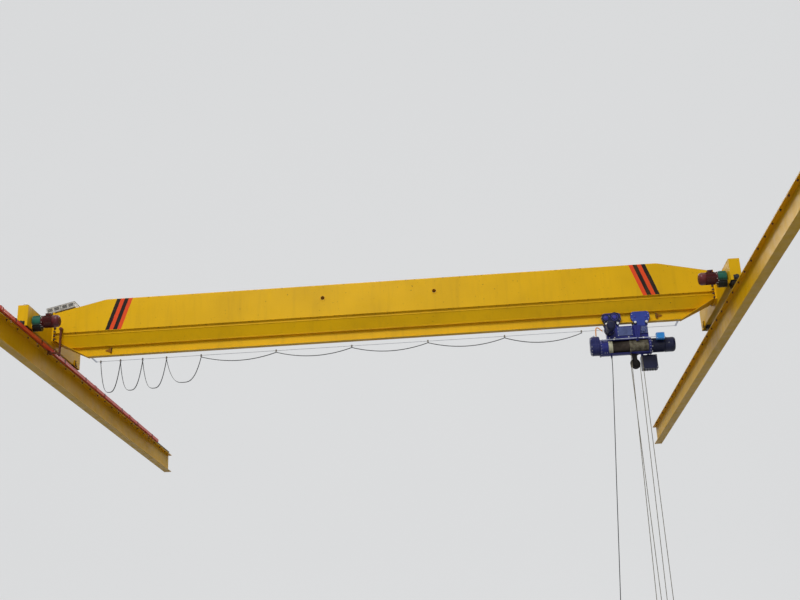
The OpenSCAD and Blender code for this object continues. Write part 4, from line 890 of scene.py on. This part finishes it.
def loop_route(left, right, count=48):
    """One hanging loop of the festoon in the XZ plane: depth times 1 less a power of the share of the
    half width, so that wide loops are parabolas and narrow ones have nearly straight sides."""
    width = right - left
    narrow = width < LOOP * 0.5
    depth = (LOOP - width * 0.75) / 2 if narrow else math.sqrt(0.375 * width * (LOOP - width))
    share = -np.cos(np.linspace(0, np.pi, count))
    along = (left + right) / 2 + share * width / 2
    drop = -104 - depth * (1 - np.abs(share) ** (3 if narrow else 2))
    return np.stack([along, np.full(count, 400.0), drop], -1) / 1000 + BRIDGE


class CRANE_OT_festoon(Operator):
    """Hangs the flat supply cable in loops from rolling hangers on its wire"""
    bl_idname = "crane.festoon"
    bl_label = "Festoon cable"

    def execute(self, context):
        width = np.linspace(-22, 22, 9)
        thick = np.array([2.6, 4.5, 3.2, 4.5, 3.2, 4.5, 3.2, 4.5, 2.6])
        section = np.concatenate([np.stack([thick, width], -1), np.stack([-thick, width], -1)[::-1]]) / 1000
        loops = [carried(loop_route(a, b), section, guide=FAR) for a, b in zip(HANGERS[:-1], HANGERS[1:])]
        cable = piece("festoon_loops", loops, "cable", "bridge")
        spots = on_bridge(HANGERS, 400, -64)
        saddle = facing(block((0.034, 0.056, 0.030), 0.006, 0.008), (0, 0, -0.044))
        arms = facing(block((0.026, 0.006, 0.046), 0.002), millimetres(0, (-16, 16), -20))
        hangers = piece("festoon_hangers", [facing(joined([saddle, arms]), spots)], "galvanised", "bridge")
        wheel = revolved([(0.008, -0.007), (0.008, -0.006), (0.005, 0), (0.008, 0.006), (0.008, 0.007)], 16)
        pair = facing(wheel, millimetres((-9, 9), 0, 10.2), NEAR)
        rollers = piece("festoon_rollers", [facing(pair, spots)], "black", "bridge")
        for soft in (cable, hangers, rollers):
            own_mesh(soft)
        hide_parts("festoon_cable")
        return {"FINISHED"}


def lobes(diameter):
    """A rope's section: twelve points whose radius goes in and out between its six strands."""
    return circle(1, 12) * (diameter / 2 * np.where(np.arange(12) % 2, 0.74, 1.0))[:, None]


def strands(stretches, diameter):
    """Straight wire ropes: a section of six lobes turns once in every lay along each stretch between two
    places on the hoist."""
    lay, parts = diameter * LAY, []
    for stretch in stretches:
        start, end = (on_hoist(*place) for place in stretch)
        count = int(np.linalg.norm(end - start) / lay * 12) + 2
        parts.append(carried(np.linspace(start, end, count), lobes(diameter), twist=-2 * np.pi / lay))
    return parts


def rope_places():
    """The rope's straight stretches, in millimetres on the hoist. The drum and the anchor each give a lead
    as far down as the upper sheave and a fall on from there, and the sheave gives the two other falls."""
    def at_block(right, far):
        return [SHEAVE_X, 0, BLOCK_Z] + swung(right * 200, far * 100, 0, BLOCK_TURN)

    def at_sheave(right):
        return [SHEAVE_X, 0, SHEAVE_Z] + swung(right * 115, 0, 0, SHEAVE_TURN)

    drum, anchor = np.array([20, -148.5, DRUM_Z]), np.array([290, 60, -755])
    leads, falls = [], []
    for top, end in ((drum, at_block(-1, 1)), (anchor, at_block(1, -1))):
        knot = top + (end - top) * (top[2] - SHEAVE_Z) / (top[2] - end[2])
        leads.append((top, knot))
        falls.append((knot, end))
    return leads, falls + [(at_sheave(side), at_block(side, side)) for side in (1, -1)]


class CRANE_OT_ropes(Operator):
    """Reeves the hoisting rope: its leads, its four falls and the coils on the drum"""
    bl_idname = "crane.ropes"
    bl_label = "Hoisting rope"

    def execute(self, context):
        d = context.scene.crane.rope_d
        leads, falls = rope_places()
        lead = piece("lead_strands", strands(leads, d), "rope", "hoist", smooth=80)
        fall = piece("fall_strands", strands(falls, d), "rope", "hoist", smooth=80)
        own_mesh(fall)
        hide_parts("rope_leads")
        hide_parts("rope_falls")
        per_turn = 110
        angle = np.arange(GROOVES * per_turn + 1) * 2 * np.pi / per_turn
        middle = GROOVE_R + d / 2
        route = np.stack([FIRST_GROOVE + GROOVE_PITCH * angle / (2 * np.pi), -middle * np.cos(angle),
                          middle * np.sin(angle)], -1) + on_hoist(0, 0, DRUM_Z)
        coil = carried(route, lobes(d), guide=RIGHT, twist=-2 * np.pi / (d * LAY))
        piece("coiled_rope", [coil], "rope", "drum", smooth=80)
        return {"FINISHED"}


class CRANE_OT_drum(Operator):
    """Turns the grooved drum, its rims and the rings, bolts and edges of its shell"""
    bl_idname = "crane.drum"
    bl_label = "Drum and shell details"

    def execute(self, context):
        steps = np.arange(GROOVES)[:, None] + [0.08, 0.5, 0.92]
        grooves = np.stack([np.tile([LAND_R, GROOVE_R, LAND_R], GROOVES),
                            FIRST_GROOVE + GROOVE_PITCH * steps.reshape(-1)], -1)
        far_end = [(0.040, -0.705), (0.040, -0.647), (0.160, -0.647), (0.164, -0.643), (0.164, -0.470),
                   (0.140, -0.369), (0.140, 0.018)]
        motor_end = [(LAND_R, 0.455), (0.160, 0.459), (0.164, 0.463), (0.164, 0.487), (0.040, 0.487),
                     (0.040, 0.545)]
        rim = [(0.162, -0.472), (0.1655, -0.470), (0.1655, -0.4), (0.163, -0.396), (0.163, -0.392),
               (0.1655, -0.388), (0.1655, -0.372), (0.160, -0.369), (0.141, -0.369)]
        axis = on_hoist(0, 0, DRUM_Z)
        turned = revolved(np.concatenate([far_end, grooves, motor_end]), 72)
        barrel = piece("drum_barrel", [facing(turned, axis, RIGHT)], "drum", "drum")
        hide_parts("rope_drum")
        piece("drum_rim", [facing(revolved(rim, 72), axis, RIGHT)], "cream", "drum")

        fixings = [bolts(0.012, 0.008, ring_of(on_hoist(x, 0, DRUM_Z), 0.1975, 18), (out, 0, 0))
                   for x, out in ((-639, 1), (479, -1))]
        for z in (-445, -720):
            y = -math.sqrt(SHELL_R ** 2 - (z - DRUM_Z) ** 2) - 1
            fixings.append(bolts(0.010, 0.006, on_hoist((-560, -510), y, z), NEAR))
        piece("shell_bolts", fixings, "zinc", "hoist")

        # Rings round the shell, beads along the window and the top seam, and beads round the window's ends
        edges = [facing(washer_ring(0.1885, 0.1925, 0.010, 72), on_hoist((-590, 470), 0, DRUM_Z), RIGHT)]
        for left, right, y, z, radius, sides in (
                (-473, 445, -131.6, -433, 0.006, 8), (-473, 445, -97.6, -733, 0.006, 8),
                (-640, 480, -40, -383.5, 0.005, 6)):
            bead = np.linspace(on_hoist(left, y, z), on_hoist(right, y, z), 3)
            edges.append(carried(bead, circle(radius, sides)))
        arc = np.radians(np.linspace(133.8, 239.1, 40) - 90)
        for x in (-473, 445):
            bow = np.stack([np.zeros(40), -np.cos(arc), -np.sin(arc)], -1) * SHELL_R / 1000
            edges.append(carried(on_hoist(x, 0, DRUM_Z) + bow, circle(0.006, 8), guide=RIGHT))
        piece("shell_edges", edges, "navy", "hoist")
        return {"FINISHED"}


class CRANE_OT_trolleys(Operator):
    """Adds cross-bolt nuts, axle keepers and gear-case covers to the two trolleys"""
    bl_idname = "crane.trolleys"
    bl_label = "Trolley nuts and covers"

    def execute(self, context):
        nut = revolved([(0.027, 0), (0.0285, 0.003), (0.0285, 0.024), (0.0265, 0.029), (0.017, 0.0295),
                        (0.0165, 0.036), (0.0145, 0.038)], 24)
        pad = revolved([(0.036, 0), (0.038, 0.002), (0.038, 0.007), (0.035, 0.009)], 28)
        cap = revolved([(0.024, 0), (0.026, 0.002), (0.026, 0.007), (0.020, 0.012), (0.012, 0.013)], 24)
        large = revolved([(0.046, 0), (0.048, 0.002), (0.048, 0.006), (0.036, 0.010), (0.016, 0.011)], 32)
        small = revolved([(0.034, 0), (0.036, 0.002), (0.036, 0.005), (0.024, 0.009), (0.012, 0.010)], 28)
        nuts, pads, caps, fixings = [], [], [], []
        for trolley, y in ((-328, -1), (-328, 1), (328, -1), (328, 1)):
            out, side = (0, y, 0), y * 112
            pads.append(facing(pad, on_hoist(about(trolley, 128), side, -30), out))
            nuts.append(facing(nut, on_hoist(about(trolley, 128), side + y * 9, -30), out))
            # The gear case covers the near side of the driven trolley
            if (trolley, y) != (-328, -1):
                caps.append(facing(cap, on_hoist(about(trolley, 122), side, 105.3), out))
                fixings.append(bolts(0.012, 0.008, on_hoist(about(trolley, 185), side, (60, 170)), out))
        for x, z, r, hub in ((-262, 117.3, 0.112, large), (-462, 109.3, 0.087, small)):
            fixings.append(bolts(0.013, 0.008, ring_of(on_hoist(x, -128, z), r + 0.005, 8, "Y", 22), NEAR))
            caps += [facing(washer_ring(r - 0.042, r - 0.030, 0.006, 40), on_hoist(x, -165, z), NEAR),
                     facing(hub, on_hoist(x, -175, z), NEAR)]
        motor = on_hoist(-410, -164, -195)
        caps.append(facing(fins(0.180, 0.096, 0.1075, 32, 0.004), motor - [0, 0.024, 0], NEAR))
        fixings.append(bolts(0.012, 0.008, ring_of(motor - [0, 0.016, 0], 0.1015, 6, "Y", 30), NEAR))
        piece("trolley_nuts", nuts, "zinc", "hoist")
        piece("trolley_pads", pads, "black", "hoist")
        piece("trolley_covers", caps, "violet", "hoist")
        piece("trolley_bolts", fixings, "zinc", "hoist")
        return {"FINISHED"}


def hose(route, radius):
    """A round hose along a smooth route through places on the hoist, in millimetres."""
    return carried(bent(HOIST + np.array(route) / 1000, 6), circle(radius), guide=FAR)


class CRANE_OT_hoist_frame(Operator):
    """Adds the panel, the round cover, the conduits and the bolts of the hoist's frame"""
    bl_idname = "crane.hoist_frame"
    bl_label = "Hoist frame details"

    def execute(self, context):
        disc = revolved([(0.056, 0), (0.058, 0.003), (0.058, 0.010), (0.050, 0.016), (0.030, 0.018)], 36)
        piece("frame_panel", [
            facing(block((0.336, 0.202, 0.005), 0.002, 0.006), on_hoist(-55, -107, -226), NEAR),
            facing(block((0.184, 0.164, 0.006), 0.002, 0.008), on_hoist(360, -125, -215), NEAR),
            facing(disc, on_hoist(360, -138, -215), NEAR)], "dusty", "hoist")
        piece("frame_bolts", [
            bolts(0.010, 0.006, on_hoist((-212, 102), -112, (-316, -226, -136)), NEAR),
            bolts(0.010, 0.006, on_hoist((277, 443), -131, (-288, -142)), NEAR),
            bolts(0.010, 0.005, ring_of(on_hoist(360, -148, -215), 0.047, 6, "Y"), NEAR),
            bolts(0.018, 0.011, on_hoist((-430, -280, 480, 150), 96, -150), FAR),
            bolts(0.018, 0.011, on_hoist((-420, -300, 20), -96, -360), NEAR)], "zinc", "hoist")
        piece("motor_conduit", [hose([
            (836, -50, -400), (848, -54, -418), (884, -60, -424), (960, -62, -424), (1030, -60, -428),
            (1050, -58, -470), (1046, -56, -520)], 0.012)], "conduit", "hoist")
        piece("trolley_conduit", [hose([
            (-560, -90, -184), (-600, -96, -150), (-660, -98, -100), (-700, -96, -110), (-712, -90, -180),
            (-716, -80, -250), (-716, -70, -300)], 0.013)], "orange", "hoist")
        gland = revolved([(0.016, 0), (0.016, 0.012), (0.012, 0.014), (0.011, 0.030), (0.0085, 0.032)], 12)
        piece("conduit_glands", [facing(gland, on_hoist(-545, -88, -196), (-0.7, -0.2, 0.6)),
                                 facing(gland, on_hoist(-716, -70, -300))], "white", "hoist")
        return {"FINISHED"}


class CRANE_OT_hoist_drive(Operator):
    """Adds the fins, rings, ribs and bolts of the hoist's motor and gearbox and the lid of its controls"""
    bl_idname = "crane.hoist_drive"
    bl_label = "Hoist motor and gearbox details"

    def execute(self, context):
        motor, case = on_hoist(495, 0, DRUM_Z), on_hoist(-838, 0, DRUM_Z)
        body = [facing(fins(0.250, 0.150, 0.1640, 44, 0.005), (0, 0, 0.040)),
                facing(washer_ring(0.140, 0.1620, 0.012, 60), (0, 0, 0.284)),
                facing(washer_ring(0.150, 0.1705, 0.010, 60), [(0, 0, 0.330), (0, 0, 0.470)])]
        piece("hoist_motor_fins", [facing(joined(body), motor, RIGHT)], "dark_navy", "hoist")
        ribs = on_hoist((-684, -744, -804), 0, DRUM_Z)
        piece("gearbox_ribs", [
            facing(washer_ring(0.158, 0.1700, 0.008, 60), ribs, LEFT),
            facing(washer_ring(0.143, 0.1550, 0.008, 60), ribs + [0, 0, 0.130], LEFT)], "casing", "hoist")
        breather = revolved([(0.020, 0), (0.024, 0.006), (0.024, 0.026), (0.016, 0.036), (0.007, 0.040)], 20)
        piece("gearbox_breather", [facing(breather, on_hoist(-770, -30, -296))], "conduit", "hoist")
        lid = block((0.336, 0.296, 0.006), 0.002, 0.012)
        piece("controls_lids", [
            facing(lid, on_hoist(459, 101, -915), NEAR), facing(lid, on_hoist(459, 309, -915), FAR)],
              "dark_navy", "hoist")
        piece("hoist_drive_bolts", [
            bolts(0.020, 0.013, ring_of(motor + [0.018, 0, 0], 0.170, 8, start=22.5), RIGHT),
            bolts(0.010, 0.006, motor + [0.400, -0.168, 0], NEAR),
            bolts(0.016, 0.010, ring_of(case, 0.155, 12)[6:], LEFT),
            bolts(0.016, 0.010, ring_of(case + [0, 0, 0.130], 0.140, 12)[1:6], LEFT),
            bolts(0.014, 0.009, ring_of(on_hoist(-866, 0, DRUM_Z), 0.058, 6), LEFT),
            bolts(0.010, 0.005, on_hoist((303, 615), 95, (-1050, -780)), NEAR)], "zinc", "hoist")
        gland = revolved([(0.018, 0), (0.018, 0.014), (0.013, 0.016), (0.011, 0.034)], 12)
        piece("controls_glands", [facing(gland, on_hoist((340, 400, 460, 520, 580), 205, -1075), DOWN)],
              "rubber", "hoist")
        return {"FINISHED"}


class CRANE_OT_limit_switch(Operator):
    """Houses the limit switch in its painted box and marks the collars on its rod"""
    bl_idname = "crane.limit_switch"
    bl_label = "Limit switch box"

    def execute(self, context):
        piece("limit_switch_box", [
            facing(block((0.189, 0.104, 0.150), 0.005, 0.010), on_hoist(703.5, -246, -510)),
            facing(block((0.172, 0.126, 0.006), 0.002, 0.010), on_hoist(703.5, -297, -435), NEAR)],
              "sky", "hoist")
        collar = revolved([(0.0175, 0), (0.0185, 0.002), (0.0185, 0.024), (0.0175, 0.026)], 16)
        piece("limit_rod_collars", [
            bolts(0.009, 0.005, on_hoist((629, 778), -303, (-489, -381)), NEAR),
            facing(collar, on_hoist((-353, 317), -216, -434), RIGHT)], "zinc", "hoist")
        gland = revolved([(0.014, 0), (0.014, 0.012), (0.010, 0.014), (0.009, 0.028)], 12)
        piece("limit_switch_gland", [facing(gland, on_hoist(797, -246, -470), RIGHT)], "rubber", "hoist")
        return {"FINISHED"}


class CRANE_OT_block(Operator):
    """Adds the bolts, the hook's nut and the safety latch of the hook block"""
    bl_idname = "crane.block"
    bl_label = "Hook block details"

    def execute(self, context):
        across = swung(0, 1, 0, BLOCK_TURN)
        rim = np.radians([190, 215, 240, 300, 325, 350])
        boss = revolved([(0.028, 0), (0.030, 0.003), (0.030, 0.012), (0.024, 0.015), (0.012, 0.016)], 24)
        parts = []
        for y in (-1, 1):
            out = across * y
            cross = on_block(np.array([-50, -50, 50, 50]), y * 66, np.array([-285, -215, -285, -215]))
            parts += [bolts(0.016, 0.010, on_block(188 * np.cos(rim), y * 137, 188 * np.sin(rim)), out),
                      bolts(0.022, 0.013, cross, out), facing(boss, on_block(0, y * 157, 0), out)]
        piece("block_bolts", parts, "black", "block")
        nut = revolved([(0.050, 0), (0.052, 0.003), (0.052, 0.030), (0.046, 0.035), (0.020, 0.036)], 6)
        tongue = on_block(np.array([26, 52, 76, 92]), 0, np.array([-345, -372, -392, -402]))
        section = [(-0.004, -0.016), (0.004, -0.016), (0.004, 0.016), (-0.004, 0.016)]
        piece("hook_latch", [facing(nut, on_block(0, 0, -206)), carried(tongue, section, guide=across)],
              "galvanised", "block")
        return {"FINISHED"}


class VIEW3D_PT_crane(Panel):
    """Lists the crane's sizes and the buttons that make its pieces"""
    bl_label = "Bridge Crane"
    bl_space_type = "VIEW_3D"
    bl_region_type = "UI"
    bl_category = "Crane"

    def draw(self, context):
        for key in CraneSettings.__annotations__:
            self.layout.prop(context.scene.crane, key)
        for made in OPERATORS:
            self.layout.operator(made.bl_idname)


OPERATORS = (CRANE_OT_finishes, CRANE_OT_stage, CRANE_OT_pendant, CRANE_OT_festoon, CRANE_OT_ropes,
             CRANE_OT_drum, CRANE_OT_runway, CRANE_OT_girder, CRANE_OT_carriages, CRANE_OT_travel_drives,
             CRANE_OT_controls, CRANE_OT_collector, CRANE_OT_trolleys, CRANE_OT_hoist_frame,
             CRANE_OT_hoist_drive, CRANE_OT_limit_switch, CRANE_OT_block)
CLASSES = (CraneSettings, *OPERATORS, VIEW3D_PT_crane)


def register():
    for made in CLASSES:
        bpy.utils.register_class(made)
    bpy.types.Scene.crane = PointerProperty(type=CraneSettings)


def unregister():
    del bpy.types.Scene.crane
    for made in reversed(CLASSES):
        bpy.utils.unregister_class(made)


def main():
    register()
    for made in OPERATORS:
        group, name = made.bl_idname.split(".")
        getattr(getattr(bpy.ops, group), name)()


if __name__ == "__main__":
    main()
